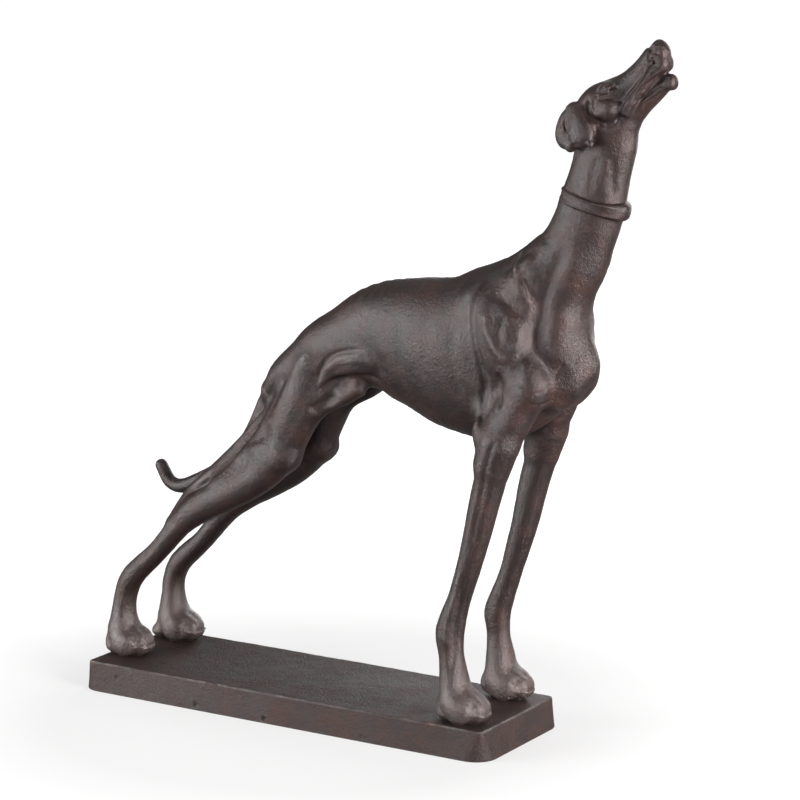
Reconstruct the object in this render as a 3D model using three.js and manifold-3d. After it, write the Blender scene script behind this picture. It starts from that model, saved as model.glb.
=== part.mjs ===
// A cast iron hound standing on a flat rectangular plinth, nose lifted, tail hanging.
// Millimetres, +Z up, the hound facing +X. The origin is the centre of the plinth's underside.
//
// The hound is one casting. Its trunk, neck, muzzle, limbs and tail are each a row of oval
// sections carried along a smooth curve; the smaller muscles, the toes and the face are
// ellipsoids. They are blended into one skin the way clay muscles are smoothed into each other:
// each form is a distance field, the fields are joined with a soft minimum, and the skin is the
// surface where the joined field is zero. The collar is joined on and the paws are cut flat.

import * as THREE from "three";
import { mergeVertices } from "three/addons/utils/BufferGeometryUtils.js";
import { SimplifyModifier } from "three/addons/modifiers/SimplifyModifier.js";
import Module from "manifold-3d";

const wasm = await Module();
wasm.setup();

// Sizes of the whole statue
const houndHeight = 490; // from the plinth's top to the tip of the nose
const plinthLength = 360.5;
const plinthWidth = 116;
const plinthThickness = 22;
const plinthDraft = 5.2; // how far each side leans in towards the top
const plinthFootCorner = 17; // corner radius at the foot, seen from above
const plinthTopCorner = 7; // the same at the top
const plinthEdge = 1; // bevel round the top edge
const seam = 0.3; // gap between the paws and the plinth
const standAskew = -1.8; // degrees the hound is turned on its plinth
const askewAbout = 150; // the turn's centre, between the fore paws, along the plinth

// Every section table below is written for a hound of this height and scaled to houndHeight.
const drawnHeight = 490;
const scale = houndHeight / drawnHeight;

// Section tables: x, y, z of the section's centre, then its reach to the front (or top),
// its reach to the back (or underside), and its half width across the curve.
// A limb is written for the left side and mirrored for the right.
const trunk = [
  [-36, 0, 216, 12, 13, 15],
  [-22, 0, 228, 17.5, 17, 22],
  [0, 0, 241, 23, 24, 26],
  [26, 0, 255, 29, 31, 26],
  [58, 0, 266, 39, 42, 27],
  [90, 0, 265, 48, 49, 32],
  [125, 0, 260, 56.5, 57, 35],
  [158, 0, 261, 57, 60, 34],
  [188, 0, 266, 50, 50, 30],
  [211, 0, 270, 34, 36, 21],
];
const neck = [
  [168, 0, 288, 41, 40, 26],
  [196, 0, 311, 36, 31, 24],
  [215.6, 0, 333, 31.5, 26, 21.5],
  [225, 0, 354, 26, 24, 19],
  [232.5, 0, 374, 25.5, 23.5, 17.8],
  [238, 0, 396, 23, 22, 16],
  [243, 0, 420, 22, 22.5, 15],
  [247, 0, 434, 18, 19.5, 15],
];
const skull = [
  [229, 0, 430, 16, 15, 14],
  [239, 0, 440, 18.5, 18, 17],
  [250, 0, 448, 16, 15, 15.5],
  [261, 0, 457, 12.3, 10, 11],
  [272, 0, 468, 10.2, 9, 9],
  [280, 0, 478.5, 9.4, 9, 7.6],
  [282, 0, 482, 7.4, 7, 6.2],
];
const jaw = [
  [254, 0, 431, 10, 10, 11],
  [270, 0, 445, 6.5, 6.5, 8.5],
  [282, 0, 455, 5, 5, 7],
  [291.2, 0, 463.6, 4.6, 4.6, 4.8],
];
// The floor of the closed mouth, a little inside the lips
const mouth = [
  [266, 0, 447, 5, 5, 8],
  [278, 0, 459.5, 4.5, 4.5, 6.2],
  [286, 0, 467.2, 3, 3, 3.8],
];
const flews = [
  [285.5, 4, 473.5, 4.8, 4.4, 3.8],
  [281, 6.2, 468, 4.6, 4.6, 4],
  [276.5, 7.6, 462.5, 4.4, 4.4, 4],
  [271.5, 8.8, 456, 4.2, 4.2, 4],
  [266.5, 9.8, 449.5, 4.6, 4.6, 4.2],
  [261.5, 10.5, 442, 5, 5, 4.5],
];
// The hanging ear is a front flap that overlaps a rear one
const ear = [
  [225.5, 12, 446, 4.5, 4.5, 4.5],
  [229, 15.5, 438, 7, 8, 5],
  [232, 18, 430, 8.8, 9.5, 5.2],
  [234.5, 19.5, 423, 9, 10, 4.8],
  [235.5, 19.5, 420, 7.2, 8.5, 3.8],
];
const rearEar = [
  [223, 12, 443, 4, 4, 4],
  [220.5, 13.5, 435, 6, 6.5, 4.5],
  [218.5, 14.5, 427, 8, 8, 4.6],
  [219.5, 15, 421.5, 8, 8.5, 4.4],
  [224, 16, 418, 6, 6, 4],
];
const tail = [
  [-36, 0, 221, 9, 9, 9],
  [-48.5, 0, 203, 7, 7, 7],
  [-62.5, 0, 177, 6.5, 6.5, 6.5],
  [-86, 0, 153, 6.2, 6.2, 6.2],
  [-109, 0, 139, 6, 6, 6],
  [-128, 0, 131, 5.8, 5.8, 5.8],
  [-140, 0, 133.5, 5.5, 5.5, 5.5],
  [-148, 0, 145, 5, 5, 5],
];
// Iron that fills the gap between the tail and each hind leg
const tailWeb = [
  [-24, 7, 213, 7, 7, 8],
  [-44, 9, 191, 7, 7, 9],
  [-62, 11, 170, 7.5, 7.5, 10],
  [-82, 12.5, 151, 7.5, 7.5, 11],
  [-100, 14.5, 135.5, 7, 7, 11.5],
  [-111, 19, 122, 6, 6, 9],
  [-118, 24, 109, 4.5, 5, 6.5],
];
const flankSkin = [
  [4, 19, 202, 8, 5, 5],
  [21, 18.5, 213, 9, 5, 4.5],
  [35, 17, 221, 9, 6, 5],
  [46, 14, 228, 8, 6, 6],
];
const blade = [
  [151, 19, 303, 13, 14, 10],
  [171, 24, 284, 17, 18, 13],
  [190, 27, 262, 15, 18, 12.5],
  [203, 27, 247, 11, 14, 12],
];
const upperArm = [
  [201, 27, 251, 11, 15, 11],
  [191, 29, 229, 13, 18, 12.5],
  [179, 32, 207, 12.5, 17, 12.5],
  [172, 34, 190, 11, 13, 11.5],
];
const foreLeg = [
  [179, 34, 205, 14, 15, 12.5],
  [173.5, 34, 188, 12.6, 12, 11],
  [166.3, 34, 162, 11.4, 11, 10.3],
  [157.3, 34, 126, 9.8, 9.6, 9.2],
  [147, 34, 92, 8.5, 8.5, 8.6],
  [141.5, 34, 76, 9.4, 9.8, 9.5],
  [139, 34, 62, 9.4, 11.6, 10],
  [140, 34, 46, 8.8, 9.6, 9.2],
  [143, 34, 27, 10, 12, 12],
  [145, 34, 15, 12, 13, 14],
];
const forePaw = [
  [138, 34, 9, 9, 9, 12],
  [147, 34, 13, 12, 13, 15],
  [156, 34, 12, 10.5, 12, 14.5],
  [162, 34, 10, 8.5, 10, 12],
];
const thigh = [
  [14, 18, 238, 16, 17, 12],
  [5, 20, 215, 14, 21, 14],
  [-6, 22, 190, 11.5, 20, 14],
  [-15, 23, 172, 11, 18, 12],
];
const ham = [
  [-14, 12, 222, 12, 9.5, 11],
  [-29, 16, 187, 12, 12, 12],
  [-49, 19, 163, 11.5, 11.5, 11],
  [-72, 22, 145, 9.5, 9.5, 10],
];
const shank = [
  [-14, 23, 174, 13, 15, 12],
  [-38, 25, 154, 13.5, 14, 11.5],
  [-64, 27, 138, 12.5, 13.5, 11],
  [-87, 28, 125, 11, 12.5, 10],
  [-108, 28, 109.5, 9.5, 9.5, 9],
  [-131.5, 28, 84.5, 8.3, 8, 8.3],
  [-154.5, 28, 62, 8.2, 10, 9],
  [-162, 28, 47, 8, 9.5, 8.8],
  [-164.5, 28, 34, 8.6, 10, 9.8],
  [-164.5, 28, 20, 11, 14, 12.5],
];
const hindPaw = [
  [-171, 28, 9, 9, 9, 12],
  [-163, 28, 12.5, 11.5, 12.5, 14.5],
  [-154, 28, 11.5, 10, 11.5, 14],
  [-148, 28, 10, 8.5, 10, 12],
];
// How far the left legs stand forward of the right ones, section by section: the left fore leg
// stands slightly back and the left hind leg slightly forward.
const foreLegShift = [0, 0, -0.5, -0.5, -0.5, -0.5, -1.5, -2, -3, -4.5];
const hindLegShift = [0, 0, 0.5, 1.5, 2.5, 3.5, 3.5, 3.5, 4.5, 5.5];
const forePawShift = -4.5;
const hindPawShift = 6;

// Ellipsoids: x, y, z, half length, half width, half height, tilt of the length in degrees,
// and how softly it blends.
const middleLumps = [
  [8, 0, 260, 24, 20, 13, 35, 8], // loin over the croup
  [222, 0, 262, 16, 12, 16, 0, 8], // point of the breastbone
  [283.8, 0, 482.8, 8.4, 6.4, 5.8, -62, 2], // nose
];
const pairedLumps = [
  [180.5, 30, 281, 23, 6, 13, -62, 8], // almond muscle behind the shoulder blade
  [187, 20, 316, 20, 5.5, 9, 72, 9], // front edge of the shoulder blade
  [165, 33, 211, 8, 8, 12, 15, 5], // point of the elbow
  [167, 24, 224, 15, 9, 17, 0, 6], // hollow behind the upper arm, filled
  [210, 12.5, 245, 11, 10, 15, 10, 8], // breast muscle
  [47, 22, 249, 24, 5, 8, 14, 10], // fold of the flank
  [-30, 25, 168, 12, 9, 13, 0, 6], // knee
  [-97, 25, 124, 15, 6, 6, 42, 8], // heel tendon against the tail
  [-168.5, 28, 1.5, 9, 11, 4, 0, 4], // web under the hind heel
  [247, 9.5, 455.5, 7, 4, 4.2, 30, 4], // brow
  [250, 10.5, 442.5, 9, 6, 8, 40, 4], // cheek
  [238.5, 11.5, 449, 5.5, 4, 4.5, 0, 4], // temple
  [224, 17, 415.5, 3.5, 3.5, 3.5, 0, 3], // rear fold of the ear
];
// Toes of a paw: along the paw, across it, and their own half sizes.
const toes = [
  [5.5, -12, 9.5, 4.8, 9.5],
  [9, -4.6, 10.5, 5.4, 11.5],
  [9, 4.6, 10.5, 5.4, 11.5],
  [5.5, 12, 9.5, 4.8, 9.5],
];
const toeHeight = 8;
const toeTip = -22; // degrees the toes slope down
const toeSoft = 5;

// The collar: an oval band round the neck.
const collarAt = [233.6, 0, 377];
const collarReach = 26.2; // half its length from nape to throat
const collarWide = 19.4; // half its width across the neck
const collarBand = 9; // how tall the band is
const collarRound = 1.6; // rounding of its edges
const collarTilt = 13.6; // degrees it slopes down to the throat

// How the skin is meshed
const cell = 3.4; // size of the grid's cells
const gridLow = [-200, -60, -10]; // the box that is meshed
const gridHigh = [308, 60, 502];
const cornerSteps = 6; // straight pieces in each round corner of the plinth
const skinTriangles = 8700; // what the skin is thinned to
const far = 60; // the field where nothing is near
const takenIn = -0.2; // the field at a grid corner that is taken in
const samplesPerSpan = 5; // points of a limb's curve between two of its sections

// A closed mesh of shared vertices as a solid that can be joined and cut.
function solidOf(positions, triangles) {
  return new wasm.Manifold(
    new wasm.Mesh({
      numProp: 3,
      vertProperties: new Float32Array(positions),
      triVerts: new Uint32Array(triangles),
    }),
  );
}

function solidOfGeometry(geometry) {
  geometry.deleteAttribute("normal");
  geometry.deleteAttribute("uv");
  const merged = mergeVertices(geometry, 1e-4);
  return solidOf(merged.attributes.position.array, merged.index.array);
}

// The field of an ellipsoid: negative inside, about the distance in millimetres outside.
function lump([x, y, z, a, b, c, tilt, soft]) {
  const angle = THREE.MathUtils.degToRad(tilt);
  const cos = Math.cos(angle);
  const sin = Math.sin(angle);
  const reach = Math.max(a, b, c) + soft + 6;
  const at = (px, py, pz) => {
    const dx = px - x;
    const dy = py - y;
    const dz = pz - z;
    const share = Math.hypot((cos * dx + sin * dz) / a, dy / b, (cos * dz - sin * dx) / c) + 1e-9;
    return Math.hypot(dx, dy, dz) * (1 - 1 / share);
  };
  return { at, soft, low: [x - reach, y - reach, z - reach], high: [x + reach, y + reach, z + reach] };
}

// The field of a limb: the nearest point of its curve gives the oval section that counts, and the
// field is zero where a point sits on that oval. Past the curve's ends the oval closes in a dome.
// `stouter` widens the upper half of each section and narrows the lower half by that share.
function limb(table, soft, stouter = 0) {
  const row = (from) =>
    new THREE.CatmullRomCurve3(
      table.map((s) => new THREE.Vector3(...s.slice(from, from + 3))),
      false,
      "catmullrom",
    );
  const spans = (table.length - 1) * samplesPerSpan;
  const path = row(0);
  const reachOf = row(3);
  const samples = [];
  for (let i = 0; i <= spans; i++) {
    const along = path.getTangent(i / spans);
    const across = new THREE.Vector3(0, 1, 0).addScaledVector(along, -along.y).normalize();
    samples.push({
      at: path.getPoint(i / spans),
      along,
      across,
      front: new THREE.Vector3().crossVectors(along, across),
      reach: reachOf.getPoint(i / spans),
    });
  }
  const box = new THREE.Box3();
  for (const s of samples)
    for (const side of [-1, 1]) box.expandByPoint(s.at.clone().addScalar(side * Math.max(...s.reach)));
  box.expandByScalar(soft + 6);

  const p = new THREE.Vector3();
  const q = new THREE.Vector3();
  const along = new THREE.Vector3();
  const across = new THREE.Vector3();
  const front = new THREE.Vector3();
  const reach = new THREE.Vector3();
  const centre = new THREE.Vector3();
  const at = (x, y, z) => {
    let best = Infinity;
    let nearest = 0;
    let share = 0;
    for (let i = 0; i < spans; i++) {
      const a = samples[i].at;
      const b = samples[i + 1].at;
      const ex = b.x - a.x;
      const ey = b.y - a.y;
      const ez = b.z - a.z;
      const px = x - a.x;
      const py = y - a.y;
      const pz = z - a.z;
      const t = Math.min(1, Math.max(0, (px * ex + py * ey + pz * ez) / (ex * ex + ey * ey + ez * ez)));
      const d = (px - t * ex) ** 2 + (py - t * ey) ** 2 + (pz - t * ez) ** 2;
      if (d < best) {
        best = d;
        nearest = i;
        share = t;
      }
    }
    const a = samples[nearest];
    const b = samples[nearest + 1];
    centre.lerpVectors(a.at, b.at, share);
    along.lerpVectors(a.along, b.along, share);
    across.lerpVectors(a.across, b.across, share);
    front.lerpVectors(a.front, b.front, share);
    reach.lerpVectors(a.reach, b.reach, share);
    p.set(x, y, z).sub(centre);
    q.set(p.dot(across), p.dot(front), p.dot(along));
    const high = q.y > 0 ? reach.x : reach.y;
    const up = Math.min(1, Math.max(-1, q.y / high));
    const wide = reach.z * (1 + stouter * up);
    const oval = Math.hypot(q.x / wide, q.y / high, q.z / Math.min(wide, high)) + 1e-9;
    return p.length() * (1 - 1 / oval);
  };
  return { at, soft, low: box.min.toArray(), high: box.max.toArray() };
}

// The same table on one side of the body, moved forward by a number or a row of numbers.
function onSide(table, side, forward = 0) {
  const shift = side > 0 ? forward : 0;
  return table.map(([x, y, ...rest], i) => [x + (shift[i] ?? shift), side * y, ...rest]);
}

function paw(table, side, forward) {
  const shift = side > 0 ? forward : 0;
  const [x, y] = table[1];
  return [
    limb(onSide(table, side, forward), 5),
    ...toes.map(([along, sideways, a, b, c]) =>
      lump([x + shift + along, side * y + sideways, toeHeight, a, b, c, toeTip, toeSoft]),
    ),
  ];
}

// Every form of the hound, in the order they are blended.
function forms() {
  const list = [limb(trunk, 6, 0.12), limb(neck, 22), limb(skull, 8)];
  list.push(limb(jaw, 4), limb(mouth, 2));
  for (const side of [-1, 1]) {
    list.push(
      limb(onSide(blade, side), 8),
      limb(onSide(upperArm, side), 9),
      limb(onSide(foreLeg, side, foreLegShift), 6),
      limb(onSide(thigh, side), 9),
      limb(onSide(ham, side), 6),
      limb(onSide(shank, side, hindLegShift), 6),
      limb(onSide(flews, side), 2.5),
      limb(onSide(tailWeb, side), 6),
      limb(onSide(flankSkin, side), 6),
      ...paw(forePaw, side, forePawShift),
      ...paw(hindPaw, side, hindPawShift),
      ...pairedLumps.map(([x, y, ...rest]) => lump([x, side * y, ...rest])),
    );
  }
  list.push(...middleLumps.map(lump), limb(tail, 4));
  for (const table of [rearEar, ear])
    for (const side of [-1, 1]) list.push(limb(onSide(table, side), 3));
  return list;
}

// The blended field: a minimum that is rounded off where two forms are nearly equally close.
function blend(list) {
  return (x, y, z) => {
    let value = far;
    for (const f of list) {
      if (x < f.low[0] || y < f.low[1] || z < f.low[2]) continue;
      if (x > f.high[0] || y > f.high[1] || z > f.high[2]) continue;
      const other = f.at(x, y, z);
      const near = Math.max(f.soft - Math.abs(value - other), 0) / f.soft;
      value = Math.min(value, other) - near * near * f.soft * 0.25;
    }
    return value;
  };
}

// A grid face whose corners are inside and outside in turn would pinch the skin. Its outside
// corners are taken in, until no such face is left.
function closePinches(values, count, step) {
  let found = true;
  while (found) {
    found = false;
    for (let k = 0; k < count[2] - 1; k++)
      for (let j = 0; j < count[1] - 1; j++)
        for (let i = 0; i < count[0] - 1; i++) {
          const base = i + j * step[1] + k * step[2];
          for (let axis = 0; axis < 3; axis++) {
            const a = base + step[axis];
            const b = base + step[(axis + 1) % 3];
            const c = a + b - base;
            const inside = values[base] < 0;
            if (inside !== values[c] < 0 || values[a] < 0 !== values[b] < 0) continue;
            if (inside === values[a] < 0) continue;
            for (const corner of inside ? [a, b] : [base, c]) values[corner] = takenIn;
            found = true;
          }
        }
  }
}

// The surface where a field is zero, as one vertex in each grid cell that the surface crosses,
// joined by a quad across every grid edge that it crosses.
function skinOf(field, low, high) {
  const count = low.map((l, i) => Math.ceil((high[i] - l) / cell) + 1);
  const step = [1, count[0], count[0] * count[1]];
  const values = new Float32Array(count[0] * count[1] * count[2]);
  let n = 0;
  for (let k = 0; k < count[2]; k++)
    for (let j = 0; j < count[1]; j++)
      for (let i = 0; i < count[0]; i++)
        values[n++] = field(low[0] + i * cell, low[1] + j * cell, low[2] + k * cell);
  closePinches(values, count, step);
  const corners = [0, 1, 2, 3, 4, 5, 6, 7].map((c) => [c & 1, (c >> 1) & 1, (c >> 2) & 1]);
  const edges = [];
  for (let a = 0; a < 8; a++)
    for (const bit of [1, 2, 4]) if (!(a & bit)) edges.push([a, a | bit]);
  const vertexOf = new Int32Array(values.length).fill(-1);
  const points = [];
  for (let k = 0; k < count[2] - 1; k++)
    for (let j = 0; j < count[1] - 1; j++)
      for (let i = 0; i < count[0] - 1; i++) {
        const base = i + j * step[1] + k * step[2];
        const v = corners.map(([a, b, c]) => values[base + a + b * step[1] + c * step[2]]);
        const inside = v.filter((x) => x < 0).length;
        if (!inside || inside === 8) continue;
        const sum = [0, 0, 0];
        let crossings = 0;
        for (const [a, b] of edges) {
          if (v[a] < 0 === v[b] < 0) continue;
          const t = v[a] / (v[a] - v[b]);
          for (let m = 0; m < 3; m++) sum[m] += corners[a][m] + t * (corners[b][m] - corners[a][m]);
          crossings++;
        }
        vertexOf[base] = points.length / 3;
        [i, j, k].forEach((g, m) => points.push(low[m] + (g + sum[m] / crossings) * cell));
      }
  // Each vertex slides along the field's slope until it is on the surface.
  const h = 0.4;
  for (let round = 0; round < 2; round++)
    for (let i = 0; i < points.length; i += 3) {
      const [x, y, z] = points.slice(i, i + 3);
      const f = field(x, y, z);
      const g = [
        field(x + h, y, z) - field(x - h, y, z),
        field(x, y + h, z) - field(x, y - h, z),
        field(x, y, z + h) - field(x, y, z - h),
      ].map((d) => d / (2 * h));
      const slope = Math.max(g[0] ** 2 + g[1] ** 2 + g[2] ** 2, 0.25);
      g.forEach((d, m) => {
        points[i + m] -= THREE.MathUtils.clamp((f * d) / slope, -cell / 3, cell / 3);
      });
    }
  const triangles = [];
  for (let k = 1; k < count[2] - 1; k++)
    for (let j = 1; j < count[1] - 1; j++)
      for (let i = 1; i < count[0] - 1; i++) {
        const base = i + j * step[1] + k * step[2];
        for (let axis = 0; axis < 3; axis++) {
          const here = values[base] < 0;
          if (here === values[base + step[axis]] < 0) continue;
          const b = step[(axis + 1) % 3];
          const c = step[(axis + 2) % 3];
          const quad = [base - b - c, base - c, base, base - b].map((cellAt) => vertexOf[cellAt]);
          if (!here) quad.reverse();
          triangles.push(quad[0], quad[1], quad[2], quad[0], quad[2], quad[3]);
        }
      }
  const geometry = new THREE.BufferGeometry();
  geometry.setAttribute("position", new THREE.BufferAttribute(new Float32Array(points), 3));
  geometry.setIndex(new THREE.BufferAttribute(new Uint32Array(triangles), 1));
  return geometry;
}

async function buildHound() {
  let skin = skinOf(blend(forms()), gridLow, gridHigh);
  const vertices = skin.attributes.position.count;
  skin = await new SimplifyModifier().modify(skin, vertices - skinTriangles / 2);
  // Where forms close over a small hollow, the hollow is dropped: only the outer skin is kept.
  const [hound] = solidOf(skin.attributes.position.array, skin.index.array)
    .decompose()
    .sort((a, b) => b.volume() - a.volume());

  const oval = new THREE.Shape();
  oval.absellipse(0, 0, collarReach - collarRound, collarWide - collarRound, 0, 2 * Math.PI);
  const band = new THREE.ExtrudeGeometry(oval, {
    depth: collarBand - 2 * collarRound,
    bevelThickness: collarRound,
    bevelSize: collarRound,
    bevelSegments: 1,
    curveSegments: 10,
  });
  band.translate(0, 0, collarRound - collarBand / 2);
  band.rotateY(THREE.MathUtils.degToRad(collarTilt));
  band.translate(...collarAt);

  // The paws are cut flat just above the plinth.
  const below = new THREE.BoxGeometry(2 * drawnHeight, drawnHeight, drawnHeight);
  below.translate(0, 0, seam / scale - drawnHeight / 2);
  return hound.add(solidOfGeometry(band)).subtract(solidOfGeometry(below));
}

// A rectangle with round corners, as points round it: the same number for every radius.
function roundedOutline(length, width, radius) {
  const points = [];
  for (const [turn, sx, sy] of [[0, 1, 1], [1, -1, 1], [2, -1, -1], [3, 1, -1]])
    for (let i = 0; i <= cornerSteps; i++) {
      const angle = (turn + i / cornerSteps) * (Math.PI / 2);
      const x = sx * (length / 2 - radius) + radius * Math.cos(angle);
      const y = sy * (width / 2 - radius) + radius * Math.sin(angle);
      points.push(new THREE.Vector2(x, y));
    }
  return points;
}

function buildPlinth() {
  // Bottom, side below the bevel, top edge: height, how far it stands in, and corner radius.
  const levels = [
    [0, 0, plinthFootCorner],
    [plinthThickness - plinthEdge, plinthDraft, plinthTopCorner],
    [plinthThickness, plinthDraft + plinthEdge, plinthTopCorner],
  ];
  const rings = levels.map(([, inset, radius]) =>
    roundedOutline(plinthLength - 2 * inset, plinthWidth - 2 * inset, radius),
  );
  const base = rings[0];
  const n = base.length;
  const points = levels.flatMap(([z], k) => rings[k].flatMap((p) => [p.x, p.y, z]));
  const triangles = [];
  for (const [a, b, c] of THREE.ShapeUtils.triangulateShape(base, [])) {
    const top = (levels.length - 1) * n;
    triangles.push(a, c, b, top + a, top + b, top + c);
  }
  for (let k = 0; k < levels.length - 1; k++)
    for (let i = 0; i < n; i++) {
      const j = (i + 1) % n;
      const low = k * n;
      const high = low + n;
      triangles.push(low + i, low + j, high + j, low + i, high + j, high + i);
    }
  return solidOf(points, triangles);
}

function meshOf(name, solid, material) {
  const made = solid.getMesh();
  const geometry = new THREE.BufferGeometry();
  const xyz = new Float32Array(made.numVert * 3);
  for (let i = 0; i < made.numVert; i++)
    xyz.set(made.vertProperties.subarray(i * made.numProp, i * made.numProp + 3), 3 * i);
  geometry.setAttribute("position", new THREE.BufferAttribute(xyz, 3));
  geometry.setIndex(new THREE.BufferAttribute(new Uint32Array(made.triVerts), 1));
  geometry.computeVertexNormals();
  const mesh = new THREE.Mesh(geometry, material);
  mesh.name = name;
  return mesh;
}

const statue = new THREE.Group();

statue.add(
  meshOf(
    "plinth",
    buildPlinth(),
    new THREE.MeshStandardMaterial({ color: 0x4b4341, roughness: 0.55, metalness: 0.6 }),
  ),
);

// The hound stands on the plinth's top, turned slightly about the middle of its fore paws.
const standing = new THREE.Group();
standing.position.set(askewAbout, 0, plinthThickness);
standing.rotation.z = THREE.MathUtils.degToRad(standAskew);
const hound = meshOf(
  "hound",
  await buildHound(),
  new THREE.MeshStandardMaterial({ color: 0x52494a, roughness: 0.45, metalness: 0.7 }),
);
hound.scale.setScalar(scale);
hound.position.x = -askewAbout;
standing.add(hound);
statue.add(standing);

export default statue;
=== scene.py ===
# %% [markdown]
# # A cast iron hound on its plinth
# The real object is a hearth or hall statue: a lean hunting dog, cast in one pour of iron, that
# stands stretched on four thin legs with its nose lifted, and a low plinth of the same iron. The
# CAD frame already holds both as plain solids. This lesson dresses them: it grows a much finer
# skin from the same table of limbs, carves the muscles and the face into it, gives it the grain
# and the small pits of a sand casting, and finishes it with a brown-black oiled iron patina.

# %% Load the CAD frame
import math

import bpy
import numpy as np
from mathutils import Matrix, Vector


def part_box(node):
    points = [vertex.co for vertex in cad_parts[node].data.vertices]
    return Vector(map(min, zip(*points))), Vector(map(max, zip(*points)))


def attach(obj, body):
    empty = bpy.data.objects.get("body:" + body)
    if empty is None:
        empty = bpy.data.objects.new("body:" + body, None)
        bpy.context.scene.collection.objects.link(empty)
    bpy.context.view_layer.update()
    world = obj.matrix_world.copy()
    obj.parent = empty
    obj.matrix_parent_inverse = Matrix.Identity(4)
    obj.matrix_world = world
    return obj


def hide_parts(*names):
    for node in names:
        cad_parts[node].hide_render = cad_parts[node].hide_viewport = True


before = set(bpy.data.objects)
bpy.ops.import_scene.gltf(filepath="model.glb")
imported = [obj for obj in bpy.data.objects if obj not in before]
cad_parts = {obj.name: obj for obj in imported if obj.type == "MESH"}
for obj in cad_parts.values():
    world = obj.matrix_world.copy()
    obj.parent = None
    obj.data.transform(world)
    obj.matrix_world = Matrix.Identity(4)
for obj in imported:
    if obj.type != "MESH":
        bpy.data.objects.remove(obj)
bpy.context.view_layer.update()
MM = 0.001
hound_low, hound_high = (np.array(corner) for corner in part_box("hound"))
plinth_low, plinth_high = (np.array(corner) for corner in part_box("plinth"))
print("hound node", np.round((hound_high - hound_low) / MM, 1), "mm")
print("plinth node", np.round((plinth_high - plinth_low) / MM, 1), "mm")

# %% [markdown]
# ## The table of limbs
# A sculptor thinks of a dog as ovals strung along bones. Each row below is one oval section:
# where its middle is along the dog (x, towards the nose), across it (y) and up (z), then how far
# the iron reaches to the front or top, to the back or underside, and out to each side, all in
# millimetres with the soles at zero. Metaballs or a sculpted mesh could give the same forms, but
# a table keeps every size readable, and it is the same table that the plain solid grows from, so
# the dressed hound sits exactly where the plain one was.

# %% Body, neck and head
TRUNK = [
    [-36, 0, 216, 12, 13, 15], [-22, 0, 228, 17.5, 17, 22], [0, 0, 241, 23, 24, 26],
    [26, 0, 255, 29, 31, 26], [58, 0, 266, 39, 42, 27], [90, 0, 265, 48, 49, 32],
    [125, 0, 260, 56.5, 57, 35], [158, 0, 261, 57, 60, 34], [188, 0, 266, 50, 50, 30],
    [211, 0, 270, 34, 36, 21],
]
NECK = [
    [168, 0, 288, 41, 40, 26], [196, 0, 311, 36, 31, 24], [215.6, 0, 333, 31.5, 26, 21.5],
    [225, 0, 354, 26, 24, 19], [232.5, 0, 374, 25.5, 23.5, 17.8], [238, 0, 396, 23, 22, 16],
    [243, 0, 420, 22, 22.5, 15], [247, 0, 434, 18, 19.5, 15],
]
SKULL = [
    [229, 0, 430, 16, 15, 14], [239, 0, 440, 18.5, 18, 17], [250, 0, 448, 16, 15, 15.5],
    [261, 0, 457, 12.3, 10, 11], [272, 0, 468, 10.2, 9, 9], [280, 0, 478.5, 9.4, 9, 7.6],
    [282, 0, 482, 7.4, 7, 6.2],
]
JAW = [
    [254, 0, 431, 10, 10, 11], [270, 0, 445, 6.5, 6.5, 8.5], [282, 0, 455, 5, 5, 7],
    [291.2, 0, 463.6, 4.6, 4.6, 4.8],
]
# The floor of the closed mouth, a little inside the lips.
MOUTH = [[266, 0, 447, 5, 5, 8], [278, 0, 459.5, 4.5, 4.5, 6.2], [286, 0, 467.2, 3, 3, 3.8]]
FLEWS = [
    [285.5, 4, 473.5, 4.8, 4.4, 3.8], [281, 6.2, 468, 4.6, 4.6, 4], [276.5, 7.6, 462.5, 4.4, 4.4, 4],
    [271.5, 8.8, 456, 4.2, 4.2, 4], [266.5, 9.8, 449.5, 4.6, 4.6, 4.2], [261.5, 10.5, 442, 5, 5, 4.5],
]
# The hanging ear is a front flap that overlaps a rear one.
EAR = [
    [223.5, 12.5, 442.5, 4, 4, 4], [228, 15.5, 437, 7, 8, 5], [232, 18, 430, 8.8, 9.5, 5.2],
    [234.5, 19.5, 423, 9, 10, 4.8], [235.5, 19.5, 420, 7.2, 8.5, 3.8],
]
REAR_EAR = [
    [220.5, 12.5, 440.5, 3.5, 3.5, 3.5], [219.5, 13.5, 435, 6, 6.5, 4.5], [218.5, 14.5, 427, 8, 8, 4.6],
    [219.5, 15, 421.5, 8, 8.5, 4.4], [224, 16, 418, 6, 6, 4],
]
TAIL = [
    [-36, 0, 221, 9, 9, 9], [-48.5, 0, 203, 7, 7, 7], [-62.5, 0, 177, 6.5, 6.5, 6.5],
    [-86, 0, 153, 6.2, 6.2, 6.2], [-109, 0, 139, 6, 6, 6], [-128, 0, 131, 5.8, 5.8, 5.8],
    [-140, 0, 133.5, 5.5, 5.5, 5.5], [-148, 0, 145, 5, 5, 5],
]
# Iron that fills the gap between the tail and each hind leg, as the founder left it.
TAIL_WEB = [
    [-24, 7, 213, 7, 7, 8], [-44, 9, 191, 7, 7, 9], [-62, 11, 170, 7.5, 7.5, 10],
    [-82, 12.5, 151, 7.5, 7.5, 11], [-100, 14.5, 135.5, 7, 7, 11.5], [-111, 19, 122, 6, 6, 9],
    [-118, 24, 109, 4.5, 5, 6.5],
]
FLANK_SKIN = [
    [4, 19, 202, 8, 5, 5], [21, 18.5, 213, 9, 5, 4.5], [35, 17, 221, 9, 6, 5],
    [46, 14, 228, 8, 6, 6],
]
middle_tables = (TRUNK, NECK, SKULL, JAW, MOUTH, FLEWS, EAR, REAR_EAR, TAIL, TAIL_WEB, FLANK_SKIN)
print("middle tables:", sum(map(len, middle_tables)), "sections")

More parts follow.
